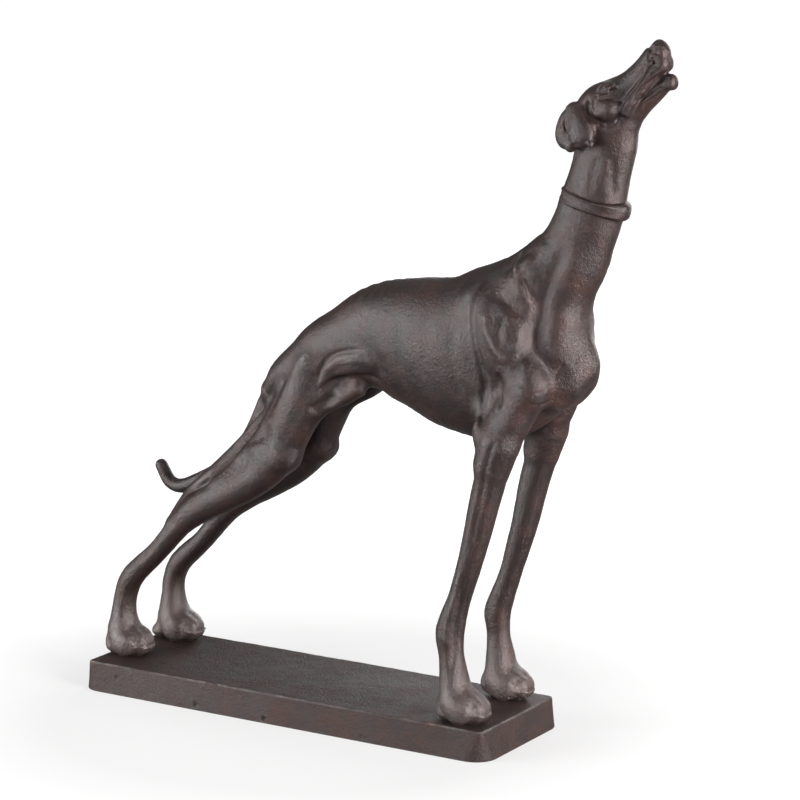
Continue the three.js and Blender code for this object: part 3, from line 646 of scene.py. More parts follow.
# %% The strokes
# Each stroke, on both sides of the dog: depth in (or out, when negative) and half width in
# millimetres, the least distance from the middle plane, then its curve in x, z.
STROKES = [
    # the shoulder blade: its bright upper rim, the groove beside it, its spine, its front edge
    # and a hollow
    (-1.8, 2.0, 8, [(184, 341), (183.5, 333), (186, 325)]),
    (1.0, 1.6, 8, [(180.5, 338), (180, 331), (183, 322)]),
    (-0.7, 4.5, 10, [(177, 329), (183.5, 320), (192, 307)]),
    (-0.9, 5.0, 10, [(187, 324), (192, 313), (196, 302), (196, 292), (195.5, 280), (191, 268)]),
    (1.0, 3.0, 10, [(190, 330), (196.5, 316), (202, 304)]),
    # the almond muscle: two lips and the cleft between them, and the line behind the shoulder
    (-1.6, 4.2, 14, [(165.5, 303), (167.8, 291), (173.3, 280.4), (180, 271.6), (188, 264)]),
    (1.2, 2.8, 14, [(182, 298), (180.5, 292), (180, 285), (182, 276)]),
    (-0.5, 4.5, 14, [(185, 300), (192, 292), (195, 283), (191, 271)]),
    (1.3, 2.8, 10, [
        (166, 326), (158.5, 312), (156.4, 299), (158.7, 280), (163, 262), (163.4, 243), (160, 220),
    ]),
    # the neck: the dark hollow before the shoulder, the tendon and the windpipe
    (2.2, 5.5, 6, [
        (223, 356), (217, 336), (208, 314), (203.5, 296), (199.5, 280), (195, 262), (191, 244),
    ]),
    (-1.0, 4.0, 6, [(204, 350), (201, 336), (200, 322)]),
    (-0.9, 5.0, 5, [(231, 350), (226, 326), (224, 302), (226, 284)]),
    (0.6, 3.2, 5, [(243, 412), (241, 399), (238, 384)]),
    (-0.3, 2.6, 5, [(248.5, 410), (248.5, 396), (247.5, 382)]),
    (0.8, 2.2, 4, [(254, 413), (254, 400), (253.5, 380)]),
    # the chest: the breast's edge, two folds of skin and a nick
    (-0.4, 3.6, 8, [(212, 279), (217, 271), (225, 262), (228, 252)]),
    (0.6, 1.2, 8, [(222, 267), (218, 260), (216, 255)]),
    (0.6, 1.0, 8, [(198, 251), (204, 246.5), (210, 246), (215, 248)]),
    (0.5, 1.0, 8, [(204, 239), (210, 237.5), (215, 240), (216, 246)]),
    # the upper arm and the fore leg
    (1.5, 2.6, 18, [(178, 258), (179, 244), (182.5, 231)]),
    (1.2, 2.8, 20, [(165, 252), (163, 240), (164, 228), (168, 214)]),
    (1.3, 2.6, 24, [(184, 214), (179, 203), (174, 186), (168, 160), (158, 119)]),
    (1.4, 2.2, 24, [(158, 120), (151.5, 93), (147, 71), (145.8, 54), (145, 30)]),
    (-0.7, 2.0, 24, [(153, 116), (146.5, 92), (141.5, 70), (140, 52)]),
    # the ribs
    (0.8, 5.0, 12, [(70, 288), (69, 262), (74, 238)]),
    (0.7, 4.5, 12, [(93, 292), (94, 262), (99, 232), (106, 214)]),
    (0.5, 4.5, 12, [(117, 290), (118, 258), (123, 226)]),
    (0.5, 4.0, 12, [(139, 290), (140, 256), (144, 226)]),
    # the flank
    (1.5, 2.0, 10, [(18, 230), (20, 238), (24, 246), (30, 252), (40, 256.5), (62, 261)]),
    (0.5, 2.0, 10, [(26, 238), (36, 244), (50, 247), (66, 247)]),
    (1.5, 1.8, 10, [(20, 222), (24, 229), (32, 234.5), (51, 239.5), (74, 238)]),
    (0.6, 1.2, 10, [(77, 258), (78, 248), (78, 238)]),
    (1.6, 3.4, 8, [(13, 209), (19, 214), (26, 219.5), (33, 223)]),
    # the haunch: the long bright ridge, the groove beside it, the thigh's hollow, the gaskin
    (-1.7, 6.0, 8, [(15, 261), (3.4, 243), (-9.3, 223), (-19.5, 205), (-26, 189)]),
    (0.7, 3.2, 12, [(-11, 234), (-15, 226), (-19, 214), (-24, 198)]),
    (-0.4, 1.0, 8, [(-31, 198), (-44, 188.5), (-54, 176)]),
    (2.8, 8.0, 10, [(23, 248), (16, 230), (7, 210), (-2, 192), (-12, 172)]),
    (-1.3, 5.0, 12, [(-21, 182), (-39, 175), (-60, 161)]),
    (1.0, 2.0, 10, [(-50, 178), (-62, 163), (-82, 146), (-102, 132)]),
    (-0.7, 2.0, 10, [(18, 203), (8, 187), (-2, 171), (-15, 154)]),
    (0.8, 2.6, 18, [(-104, 118), (-124, 98), (-146, 74)]),
    # the face: the furrow from the nostril to the cheek, the mouth and the creases of lip and jaw
    (1.2, 0.9, 2.5, [
        (283, 478), (281, 474.5), (278.8, 470.8), (275.4, 464.4), (272, 458.7), (266.4, 451.6),
        (262.6, 446.4), (260.7, 441.2), (257.6, 435.4), (256.5, 428),
    ]),
    (1.5, 1.7, 1.5, [
        (291, 469), (283.5, 464.2), (279.7, 461.2), (275.9, 458.2), (272.2, 454.7), (268, 447),
    ]),
    (0.8, 0.7, 1.5, [(290.3, 461.4), (284, 458.6), (280.8, 455.6), (275.8, 452), (270.2, 448)]),
    (0.7, 0.7, 1.5, [(289.5, 456.5), (283.8, 453), (279.4, 450.5), (276.2, 447.5), (274.8, 444)]),
    (0.8, 0.8, 0.5, [(291, 466), (290.7, 463.9), (290.1, 460)]),
    # the nose: the line behind its pad, the nostril and the dip beside it
    (0.9, 1.0, 1, [(280.5, 487.5), (278.8, 484), (277.8, 478), (280.5, 475.5)]),
    (1.6, 1.2, 2, [(280, 479), (281.1, 476.5), (281.8, 474)]),
    (0.7, 1.8, 3, [(283, 486), (283.5, 483), (283.8, 480)]),
    # the head: over and under the cheek, between the temple and it, and the hollow behind both
    (0.8, 1.6, 7, [(262, 447), (257, 449.5), (250, 450.2), (244, 449)]),
    (1.6, 2.4, 7, [(243, 438), (247, 434), (253, 433), (259, 436), (263, 441)]),
    (0.7, 1.4, 7, [(243, 453), (241.3, 448), (241, 441)]),
    (2.6, 2.0, 7, [(235, 450), (235.5, 443), (239, 438), (244, 433.5), (250, 429)]),
    # the eye: the hollow over the lid, at its front corner and under it
    (0.7, 0.8, 9, [(243.5, 454.5), (247, 458.6), (252, 460), (255.5, 459)]),
    (1.1, 1.0, 8, [(251, 456.5), (253.5, 457.2), (256.5, 458)]),
    (0.8, 0.9, 9, [(244, 453.8), (247.5, 454), (251.5, 454.8)]),
    (-0.6, 1.0, 9, [(243, 450.3), (248, 451.6), (253.5, 453.6)]),
    # the ear
    (0.8, 0.9, 10, [(219.2, 434.5), (220.8, 428.5), (225, 423.6)]),
    (-0.8, 1.0, 10, [(221, 434), (222.8, 428.5), (227, 424.8)]),
]


STROKE_END = 0.18  # the share of a stroke's length over which each end fades


def stroke_share(p, curve):
    """How far each point is from a curve in the side view, and how far along it, from 0 to 1."""
    path = spline(curve)[0]
    best, where = np.full(len(p), np.inf), np.zeros(len(p))
    spans = len(path) - 1
    for i, edge in enumerate(np.diff(path, axis=0)):
        off = p - path[i]
        t = np.clip(off @ edge / (edge @ edge), 0, 1)
        gap = ((off - t[:, None] * edge) ** 2).sum(1)
        closer = gap < best
        best = np.where(closer, gap, best)
        where = np.where(closer, (i + t) / spans, where)
    return np.sqrt(best), where


def ramp(low, high, x):
    """0 below low, 1 above high, and 3tt - 2ttt between."""
    t = np.clip((x - low) / (high - low), 0, 1)
    return t * t * (3 - 2 * t)


def carve(points, normals, strokes):
    """Each stroke moves a point along its normal by depth times exp(-(distance/width)squared),
    faded at the stroke's two ends, near the middle plane and where the skin turns away from the
    side view."""
    move = np.zeros(len(points))
    for depth, width, least, curve in strokes:
        xs, zs = np.array(curve, float).T
        reach = 3 * width
        near = (
            (points[:, 0] > xs.min() - reach) & (points[:, 0] < xs.max() + reach)
            & (points[:, 2] > zs.min() - reach) & (points[:, 2] < zs.max() + reach)
            & (np.abs(points[:, 1]) > least)
        )
        i = np.flatnonzero(near)
        away, where = stroke_share(points[i][:, [0, 2]], curve)
        fade = ramp(0, STROKE_END, where) * ramp(0, STROKE_END, 1 - where)
        facing = ramp(0.1, 0.45, normals[i, 1] * np.sign(points[i, 1]))
        rim = ramp(least, least + 4, np.abs(points[i, 1]))
        move[i] += depth * np.exp(-((away / width) ** 2)) * fade * facing * rim
    return points - move[:, None] * normals, move


normals = vertex_normals(points, triangles)
points, cut = carve(points, normals, STROKES)
print(len(STROKES), "strokes, deepest", round(cut.max(), 2), "mm")


# %% The clefts between the toes and the rim of each sole
CLEFTS = [(-10.0, 0.9), (0.0, 0.4), (9.0, 0.4)]  # across the paw, and depth
CLEFT_WIDE = 2.4
PAW_REACH = (28, 18)  # how far along and across a paw its clefts may run
CLEFT_BACK, CLEFT_FULL = -5, 3  # along the paw, where the clefts start and where they are deepest
CLEFT_TOP, CLEFT_DEEP = 23, 14  # the same, from the top down
SOLE_RIM, SOLE_FLAT, SOLE_IN = 3.4, 0.6, 1.3  # where the rim starts, where it is full, how far in


def cleave_paws(points, normals):
    """In front of a paw's middle the skin goes in by depth times exp(-(offset/width)squared) at
    each cleft. Below the rim of the sole it goes in sideways, so the paw throws a dark line."""
    move = np.zeros(len(points))
    for rows, shift in ((FORE_PAW, FORE_PAW_SHIFT), (HIND_PAW, HIND_PAW_SHIFT)):
        for side in (-1, 1):
            along = points[:, 0] - rows[1][0] - (shift if side > 0 else 0)
            across = points[:, 1] - side * rows[1][1]
            near = (np.abs(along) < PAW_REACH[0]) & (np.abs(across) < PAW_REACH[1])
            front = near * ramp(CLEFT_BACK, CLEFT_FULL, along)
            front = front * ramp(CLEFT_TOP, CLEFT_DEEP, points[:, 2])
            for cleft, depth in CLEFTS:
                move += depth * front * np.exp(-(((across - cleft) / CLEFT_WIDE) ** 2))
    points = points - move[:, None] * normals
    points[:, :2] -= (SOLE_IN * ramp(SOLE_RIM, SOLE_FLAT, points[:, 2]))[:, None] * normals[:, :2]
    return points


points = cleave_paws(points, vertex_normals(points, triangles))
print("clefts a paw:", len(CLEFTS), "and a rim", SOLE_RIM, "mm up")

# %% [markdown]
# ## The casting's own surface
# Sand leaves a pebbled skin, the metal shrinks a little unevenly, and trapped gas opens small
# pits. The uneven swell and the pits are real shape, so they go into the mesh. The grain itself is
# finer than the mesh and is left to the material.

# %% Smooth noise
NOISE = np.random.default_rng(7).uniform(-1, 1, (32, 32, 32))


def noise(points, size):
    """Random numbers on a lattice of this size, joined by 3tt - 2ttt along each axis in turn."""
    at = points / size + 64
    low = np.floor(at).astype(int)
    t = at - low
    t = t * t * (3 - 2 * t)
    total = np.zeros(len(points))
    for i in (0, 1):
        for j in (0, 1):
            for k in (0, 1):
                weight = (
                    np.abs(1 - i - t[:, 0]) * np.abs(1 - j - t[:, 1]) * np.abs(1 - k - t[:, 2])
                )
                total += weight * NOISE[(low[:, 0] + i) % 32, (low[:, 1] + j) % 32, (low[:, 2] + k) % 32]
    return total


def uneven(points):
    """Three sizes of noise, each smaller one a little weaker, in millimetres."""
    return 0.28 * noise(points, 17) + 0.14 * noise(points, 6.1) + 0.07 * noise(points, 2.7)


# %% Pits
def pit(points, normals, middle, radius, depth):
    """A round pit: the skin goes in by depth times (1 - rr), with r the share of its radius, and
    its lip stands up a little just outside."""
    near = np.flatnonzero(np.abs(points - middle).max(1) < 2 * radius)
    r = np.linalg.norm(points[near] - middle, axis=1) / radius
    bowl = depth * np.clip(1 - r**2, 0, 1) - 0.12 * depth * np.exp(-((r - 1.25) ** 2) / 0.05)
    points[near] -= bowl[:, None] * normals[near]


def nearest_skin(points, normals, x, z, side):
    """The vertex closest to x, z in the side view, on the side that faces the reader."""
    score = (points[:, 0] - x) ** 2 + (points[:, 2] - z) ** 2 + 1e4 * (normals[:, 1] * side < 0.2)
    return points[score.argmin()]


# The pits that show on the ribs: x, z, radius and depth.
SEEN_PITS = [(99, 262, 1.6, 0.8), (114, 260, 0.9, 0.5), (100, 290, 0.8, 0.45), (105, 245, 0.8, 0.4)]
SHRINK = 0.12  # the skin goes in by this, so that the swell stays inside the plain solid's size
SMALL_PITS, TOE_PITS = 150, 70
normals = vertex_normals(points, triangles)
points = points - (uneven(points) + SHRINK)[:, None] * normals
for x, z, radius, depth in SEEN_PITS:
    pit(points, normals, nearest_skin(points, normals, x, z, -1), radius, depth)
draw = np.random.default_rng(11)
for _ in range(SMALL_PITS):
    radius = draw.uniform(0.5, 1.0)
    pit(points, normals, points[draw.integers(len(points))].copy(), radius, radius * draw.uniform(0.3, 0.55))
# The far fore paw's toes are porous low down.
x, y, z = points.T
low_toes = np.flatnonzero((x > 146) & (y > 10) & (z > 0.8) & (z < 7))
for i in draw.choice(low_toes, TOE_PITS):
    radius = draw.uniform(0.6, 1.2)
    pit(points, normals, points[i].copy(), radius, radius * draw.uniform(0.5, 0.9))
print("pits in the mesh:", len(SEEN_PITS), "seen,", SMALL_PITS, "small and", TOE_PITS, "on the toes")

# %% [markdown]
# ## Onto the plinth
# The hound was worked out in its own frame, soles at zero and nose along x. It stands turned by
# 1.8 degrees on the plinth. Its soles are pressed flat, and nothing may stand outside the box that
# the CAD gave the hound.

# %% Place the hound
HOUND_TURN = math.radians(-1.8)
TURN_AT = np.array([150.0, 0, 0])
PLINTH_TALL = (plinth_high[2] - plinth_low[2]) / MM


def placed(points):
    """Turned about the upright line between the fore paws, raised by the plinth, in metres."""
    cos, sin = math.cos(HOUND_TURN), math.sin(HOUND_TURN)
    x, y, z = (points - TURN_AT).T
    turned = np.stack([cos * x - sin * y, sin * x + cos * y, z + PLINTH_TALL], 1) + TURN_AT
    return turned * MM


SOLE_PRESSED, SOLE_LOWEST = 0.02, -0.2  # what is left of the depth below the soles, and its limit
soles = points[:, 2] < 0.0
points[soles, 2] = np.maximum(points[soles, 2] * SOLE_PRESSED, SOLE_LOWEST)
hound_points = placed(points)
hound_points[:, :2] = np.clip(hound_points[:, :2], hound_low[:2], hound_high[:2])
hound_points[:, 2] = np.minimum(hound_points[:, 2], hound_high[2])
print("hound from", np.round(hound_points.min(0) / MM, 1), "to", np.round(hound_points.max(0) / MM, 1))


# %% Make the mesh, thin it and measure its relief
def mesh_object(name, points, faces):
    """Arrays to a mesh object, through foreach_set, shaded smooth."""
    mesh = bpy.data.meshes.new(name)
    mesh.vertices.add(len(points))
    mesh.vertices.foreach_set("co", points.astype(np.float32).ravel())
    mesh.loops.add(faces.size)
    mesh.loops.foreach_set("vertex_index", faces.astype(np.int32).ravel())
    mesh.polygons.add(len(faces))
    mesh.polygons.foreach_set("loop_start", np.arange(0, faces.size, faces.shape[1], dtype=np.int32))
    mesh.update(calc_edges=True)
    mesh.validate()
    mesh.polygons.foreach_set("use_smooth", np.ones(len(mesh.polygons), bool))
    piece = bpy.data.objects.new(name, mesh)
    bpy.context.scene.collection.objects.link(piece)
    return piece


def thin(piece, most):
    """Blender's Decimate, applied, so that no more than this many triangles are left."""
    triangles = sum(len(p.vertices) - 2 for p in piece.data.polygons)
    if triangles > most:
        piece.modifiers.new("thin", "DECIMATE").ratio = most / triangles
        thinned = piece.evaluated_get(bpy.context.evaluated_depsgraph_get())
        mesh = bpy.data.meshes.new_from_object(thinned)
        piece.modifiers.clear()
        piece.data = mesh
        mesh.polygons.foreach_set("use_smooth", np.ones(len(mesh.polygons), bool))
    return sum(len(p.vertices) - 2 for p in piece.data.polygons)


def measure_relief(piece, reach, full, worn=0.0):
    """Stores how far each vertex stands off its smoothed surroundings, as a share of `full`
    millimetres: above 0 on edges and knuckles, below 0 in grooves and pits. The broad roundness
    of a leg or a neck, smoothed twice as wide, is taken off again. Where `worn` is higher, as on
    an edge that hands and cloths rub, it counts instead. Each round of averaging over the edges
    spreads by one edge, so the reach grows as the root of the rounds."""
    mesh = piece.data
    at = np.empty(3 * len(mesh.vertices), np.float32)
    mesh.vertices.foreach_get("co", at)
    at = at.reshape(-1, 3).astype(float)
    normal = np.empty(3 * len(mesh.vertices), np.float32)
    mesh.vertices.foreach_get("normal", normal)
    edges = np.empty(2 * len(mesh.edges), np.int32)
    mesh.edges.foreach_get("vertices", edges)
    a, b = edges.reshape(-1, 2).T
    ends = np.concatenate([a, b])
    count = np.maximum(np.bincount(ends, minlength=len(at)), 1)
    rounds = max(2, round((reach * MM / np.median(np.linalg.norm(at[a] - at[b], axis=1))) ** 2))

    def averaged(values, times):
        for _ in range(times):
            others = np.concatenate([values[b], values[a]])
            sums = np.stack([np.bincount(ends, column, len(at)) for column in others.T], 1)
            values = sums / count[:, None]
        return values

    stands = ((at - averaged(at, rounds)) * normal.reshape(-1, 3)).sum(1) / (full * MM)
    stands -= averaged(stands[:, None], 4 * rounds)[:, 0]
    stands = np.maximum(stands, worn)
    layer = mesh.attributes.new("relief", "FLOAT", "POINT")
    layer.data.foreach_set("value", np.clip(stands, -1, 1).astype(np.float32))
    return stands


MOST_TRIANGLES = 196000
hound = mesh_object("hound_casting", hound_points, triangles)
left = thin(hound, MOST_TRIANGLES)
RELIEF_FULL = 0.8  # millimetres of relief that count as fully raised or sunk
stands = measure_relief(hound, 3.5, RELIEF_FULL)
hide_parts("hound")
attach(hound, "root")
print("hound:", left, "triangles, relief from", round(stands.min(), 2), "to", round(stands.max(), 2))

# %% [markdown]
# ## The plinth
# The plinth is a low block with sides that lean in, so that it leaves its mould. Its corners are
# round at the foot and nearly sharp at the top, its top edge is worn bright, and its flat faces
# are cast faces, a little wavy and pitted. The mesh is one rectangular grid bent into a rounded
# outline: the grid gives the top and the underside, and its border gives the rings down the sides.

# %% Rounded outlines
PLINTH_HALF = (plinth_high[:2] - plinth_low[:2]) / 2 / MM
PLINTH_MIDDLE = (plinth_high[:2] + plinth_low[:2]) / 2 / MM
FOOT_RADIUS, TOP_RADIUS = 17.0, 3.0
DRAFT = 5.2
TOP_BEVEL = 1.0
GRID_STEP = 1.25


def rounded(s, t, inset, radius):
    """Grid places s, t from -1 to 1 as x, y of a rounded rectangle. In each corner square, with
    p, q the shares past its inner sides, p becomes p times the root of 1 - qq/2, and q likewise."""
    half = PLINTH_HALF - inset
    x, y = s * half[0], t * half[1]
    p = np.clip((np.abs(x) - half[0] + radius) / radius, 0, 1)
    q = np.clip((np.abs(y) - half[1] + radius) / radius, 0, 1)
    in_corner = (p > 0) & (q > 0)
    x = np.where(in_corner, np.sign(x) * (half[0] - radius + radius * p * np.sqrt(1 - q * q / 2)), x)
    y = np.where(in_corner, np.sign(y) * (half[1] - radius + radius * q * np.sqrt(1 - p * p / 2)), y)
    return x, y


def plinth_mesh():
    """Top grid, rings down the sides, and an underside grid that shares the lowest ring."""
    nx, ny = (np.ceil(2 * PLINTH_HALF / GRID_STEP)).astype(int)
    s, t = np.meshgrid(np.linspace(-1, 1, nx + 1), np.linspace(-1, 1, ny + 1), indexing="ij")
    i, j = np.arange(nx + 1), np.arange(ny + 1)
    border = np.concatenate([
        i[:-1] * (ny + 1), nx * (ny + 1) + j[:-1], i[:0:-1] * (ny + 1) + ny, j[:0:-1],
    ])
    # the profile from the top edge down: inset, height and corner radius of each ring
    turn = np.radians(np.linspace(90, 15, 6))[1:]
    bevel = [
        (DRAFT + TOP_BEVEL * (1 - math.cos(a)), PLINTH_TALL - TOP_BEVEL * (1 - math.sin(a))) for a in turn
    ]
    low_z = np.linspace(PLINTH_TALL - TOP_BEVEL, 0.8, int(PLINTH_TALL / GRID_STEP) + 1)
    sides = [(DRAFT * z / PLINTH_TALL, z) for z in low_z] + [(0.25, 0.0)]
    rings = [(DRAFT + TOP_BEVEL, PLINTH_TALL)] + bevel + sides
    layers, faces = [], []
    for inset, z in rings:
        share = z / PLINTH_TALL
        radius = FOOT_RADIUS + (TOP_RADIUS - FOOT_RADIUS) * share
        x, y = rounded(s, t, inset, radius)
        layers.append(np.stack([x, y, np.full(x.shape, z)], -1).reshape(-1, 3))
    grid = (i[:-1, None] * (ny + 1) + j[None, :-1]).ravel()
    top = np.stack([grid, grid + ny + 1, grid + ny + 2, grid + 1], 1)
    points = [layers[0]]
    above = border
    offset = len(layers[0])
    for layer in layers[1:-1]:
        points.append(layer[border])
        below = offset + np.arange(len(border))
        faces.append(np.stack([above, below, np.roll(below, -1), np.roll(above, -1)], 1))
        above = below
        offset += len(border)
    points.append(layers[-1])
    faces.append(np.stack([above, offset + border, np.roll(offset + border, -1), np.roll(above, -1)], 1))
    return np.vstack(points), np.vstack([top, *faces, offset + top[:, ::-1]])


plinth_points, plinth_quads = plinth_mesh()
print("plinth grid:", len(plinth_points), "vertices and", len(plinth_quads), "quads")

# %% Cast faces, nicks and pits
PLINTH_IN = 0.3  # the faces go in by this, so that their waves stay inside the plain solid's size
plinth_normals = vertex_normals(plinth_points, plinth_quads)
tall, upright = plinth_points[:, 2].copy(), np.abs(plinth_normals[:, 2])
edge_soft = np.exp(-(((tall - PLINTH_TALL) / 2.5) ** 2)) * (upright < 0.98)
wavy = 0.22 * noise(plinth_points, 31) + 0.12 * noise(plinth_points, 9) + 0.06 * noise(plinth_points, 3.1)
wavy = np.maximum(wavy + PLINTH_IN, 0) * (tall > 0.5)
plinth_points = plinth_points - wavy[:, None] * plinth_normals
plinth_points -= (0.25 * edge_soft * np.maximum(noise(plinth_points, 5), 0))[:, None] * plinth_normals
# The pits that show on the plinth: x, y, z, radius and depth.
PLINTH_PITS = [
    (-147, -53.4, 12, 1.7, 1.3), (-65, -53.6, 15, 1.2, 0.9), (-71, -54.6, 3.2, 1.8, 1.4),
    (-66, -54.6, 4, 1.2, 0.9), (-9, -54.6, 3, 2.2, 1.5), (-2, -54.4, 5, 1.3, 0.8),
    (46, -54.4, 5, 1.4, 1.0), (76, -54.6, 2.6, 1.6, 1.1), (120, -54, 9, 0.9, 0.7),
    (179, -20, 8, 0.9, 0.6), (-120, -30, 22, 0.9, 0.5), (40, -38, 22, 1.0, 0.5),
]
PLINTH_SMALL_PITS = 90
for x, y, z, radius, depth in PLINTH_PITS:
    middle = plinth_points[((plinth_points - [x, y, z]) ** 2).sum(1).argmin()].copy()
    pit(plinth_points, plinth_normals, middle, radius, depth)
for _ in range(PLINTH_SMALL_PITS):
    radius = draw.uniform(0.6, 1.1)
    middle = plinth_points[draw.integers(len(plinth_points))].copy()
    if middle[2] > 1:
        pit(plinth_points, plinth_normals, middle, radius, radius * draw.uniform(0.25, 0.5))
# The top edge is worn bright, in patches, a millimetre or so wide.
WORN_BELOW = 0.4
top_rim = np.exp(-((plinth_points[:, 2] - PLINTH_TALL + WORN_BELOW) ** 2)) * (upright < 0.99)
top_rim *= np.clip(0.75 + 0.6 * noise(plinth_points, 7) + 0.3 * noise(plinth_points, 2.2), 0, 1)
plinth_points[:, :2] += PLINTH_MIDDLE
plinth = mesh_object("plinth_casting", plinth_points * MM, plinth_quads)
stands = measure_relief(plinth, 3.0, RELIEF_FULL, top_rim)
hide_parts("plinth")
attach(plinth, "root")
print("plinth:", 2 * len(plinth_quads), "triangles")

# %% [markdown]
# ## The finish
# Old cast iron that is oiled and waxed is neither bright metal nor flat paint: a brown-black skin
# with a soft sheen, greyer where hands rub it, and rust-brown where wax never reaches. Two shader
# groups hold what both pieces share. The first turns the measured relief into colour, with rust
# and a painted shade that darkens the hollows, the second gives the height of the sand grain. The
# shader itself stays in each material.

# %% Shader groups
def new_group(name, inputs, outputs):
    """An empty node group with named sockets."""
    group = bpy.data.node_groups.new(name, "ShaderNodeTree")
    for label, kind, value in inputs:
        socket = group.interface.new_socket(label, in_out="INPUT", socket_type=kind)
        socket.default_value = value
    for label, kind in outputs:
        group.interface.new_socket(label, in_out="OUTPUT", socket_type=kind)
    return group, group.nodes.new("NodeGroupInput"), group.nodes.new("NodeGroupOutput")


def node(tree, kind, values=None, **settings):
    """A node with its settings and the values of its unlinked inputs."""
    made = tree.nodes.new(kind)
    for key, value in settings.items():
        setattr(made, key, value)
    for key, value in (values or {}).items():
        made.inputs[key].default_value = value
    return made


def math_node(tree, operation, a, b=None, c=None, clamp=False):
    """One step of arithmetic on two or three sockets or numbers."""
    made = node(tree, "ShaderNodeMath", operation=operation, use_clamp=clamp)
    for i, value in enumerate((a, b, c)):
        if value is None:
            continue
        if isinstance(value, (int, float)):
            made.inputs[i].default_value = value
        else:
            tree.links.new(value, made.inputs[i])
    return made.outputs[0]


def mix_colour(tree, factor, a, b):
    """Colour a, b or between, by factor; each is a socket or a colour."""
    made = node(tree, "ShaderNodeMix", data_type="RGBA")
    for label, value in ((0, factor), (6, a), (7, b)):
        if isinstance(value, (tuple, list)):
            made.inputs[label].default_value = (*value, 1)
        elif isinstance(value, (int, float)):
            made.inputs[label].default_value = value
        else:
            tree.links.new(value, made.inputs[label])
    return made.outputs[2]


def noise_node(tree, place, scale, detail=3.0, rough=0.55):
    """Noise at a place, with `scale` lumps to a metre."""
    made = node(tree, "ShaderNodeTexNoise", {"Scale": scale, "Detail": detail, "Roughness": rough})
    tree.links.new(place, made.inputs["Vector"])
    return made.outputs["Fac"]


def span(tree, value, low, high):
    """0 below low and 1 above high."""
    made = node(tree, "ShaderNodeMapRange", {"From Min": low, "From Max": high}, clamp=True)
    tree.links.new(value, made.inputs["Value"])
    return made.outputs["Result"]


# %% Patina and painted shade by place and relief
COLOUR, NUMBER, ARROW = "NodeSocketColor", "NodeSocketFloat", "NodeSocketVector"
PAW_WEAR_TOP, PAW_WEAR_FULL = 0.075, 0.04  # metres up, where the paws' wear starts and is full
patina_and_shade, inlet, outlet = new_group(
    "iron_patina_and_shade",
    [("Place", ARROW, (0, 0, 0)), ("Relief", NUMBER, 0.0), ("Iron", COLOUR, (0.05, 0.04, 0.04, 1)),
     ("Rust", COLOUR, (0.1, 0.05, 0.04, 1)), ("Rubbed", COLOUR, (0.2, 0.18, 0.17, 1)),
     ("Roughness", NUMBER, 0.4), ("Paw Wear", NUMBER, 0.0)],
    [("Color", COLOUR), ("Roughness", NUMBER)],
)
place, relief = inlet.outputs["Place"], inlet.outputs["Relief"]
broad = span(patina_and_shade, noise_node(patina_and_shade, place, 11), 0.35, 0.68)
blotch = span(patina_and_shade, noise_node(patina_and_shade, place, 60, 5.0, 0.65), 0.42, 0.68)
speck = span(patina_and_shade, noise_node(patina_and_shade, place, 700, 2.0), 0.5, 0.8)
# The hollow mask gives the rust-brown patina of the hollows, and also a painted shade that darkens them
# (below).
hollow = span(patina_and_shade, relief, -0.02, -0.5)
high = span(patina_and_shade, relief, 0.15, 0.9)
broadly = math_node(patina_and_shade, "MULTIPLY_ADD", broad, 0.7, 0.3)
rusty = math_node(patina_and_shade, "MULTIPLY", blotch, broadly)
rusty = math_node(patina_and_shade, "MAXIMUM", rusty, math_node(patina_and_shade, "MULTIPLY", hollow, 0.55))
rusty = math_node(patina_and_shade, "ADD", rusty, math_node(patina_and_shade, "MULTIPLY", speck, 0.3), clamp=True)
base = mix_colour(patina_and_shade, rusty, inlet.outputs["Iron"], inlet.outputs["Rust"])
rubbed = math_node(patina_and_shade, "MULTIPLY", high, math_node(patina_and_shade, "MULTIPLY_ADD", speck, 0.5, 0.3))
height_up = node(patina_and_shade, "ShaderNodeSeparateXYZ")
patina_and_shade.links.new(place, height_up.inputs[0])
low_down = span(patina_and_shade, height_up.outputs["Z"], PAW_WEAR_TOP, PAW_WEAR_FULL)
low_down = math_node(patina_and_shade, "MULTIPLY", low_down, inlet.outputs["Paw Wear"])
rubbed = math_node(patina_and_shade, "MAXIMUM", rubbed, low_down)
final = mix_colour(patina_and_shade, rubbed, base, inlet.outputs["Rubbed"])
# Painted shade: the hollows are darkened by up to 0.6 of their colour, on top of their rust.
painted_hollow_shade = math_node(patina_and_shade, "SUBTRACT", 1.0, math_node(patina_and_shade, "MULTIPLY", hollow, 0.6))
shade = node(patina_and_shade, "ShaderNodeVectorMath", operation="SCALE")
patina_and_shade.links.new(final, shade.inputs[0])
patina_and_shade.links.new(painted_hollow_shade, shade.inputs["Scale"])
patina_and_shade.links.new(shade.outputs[0], outlet.inputs["Color"])
gloss = inlet.outputs["Roughness"]
for part, share, least in ((rusty, 0.14, 0.0), (rubbed, -0.1, 0.0), (speck, 0.1, 0.4), (broad, 0.1, 0.5)):
    gloss = math_node(patina_and_shade, "MULTIPLY_ADD", math_node(patina_and_shade, "SUBTRACT", part, least), share, gloss)
patina_and_shade.links.new(gloss, outlet.inputs["Roughness"])
print("group", patina_and_shade.name, "with", len(patina_and_shade.nodes), "nodes")

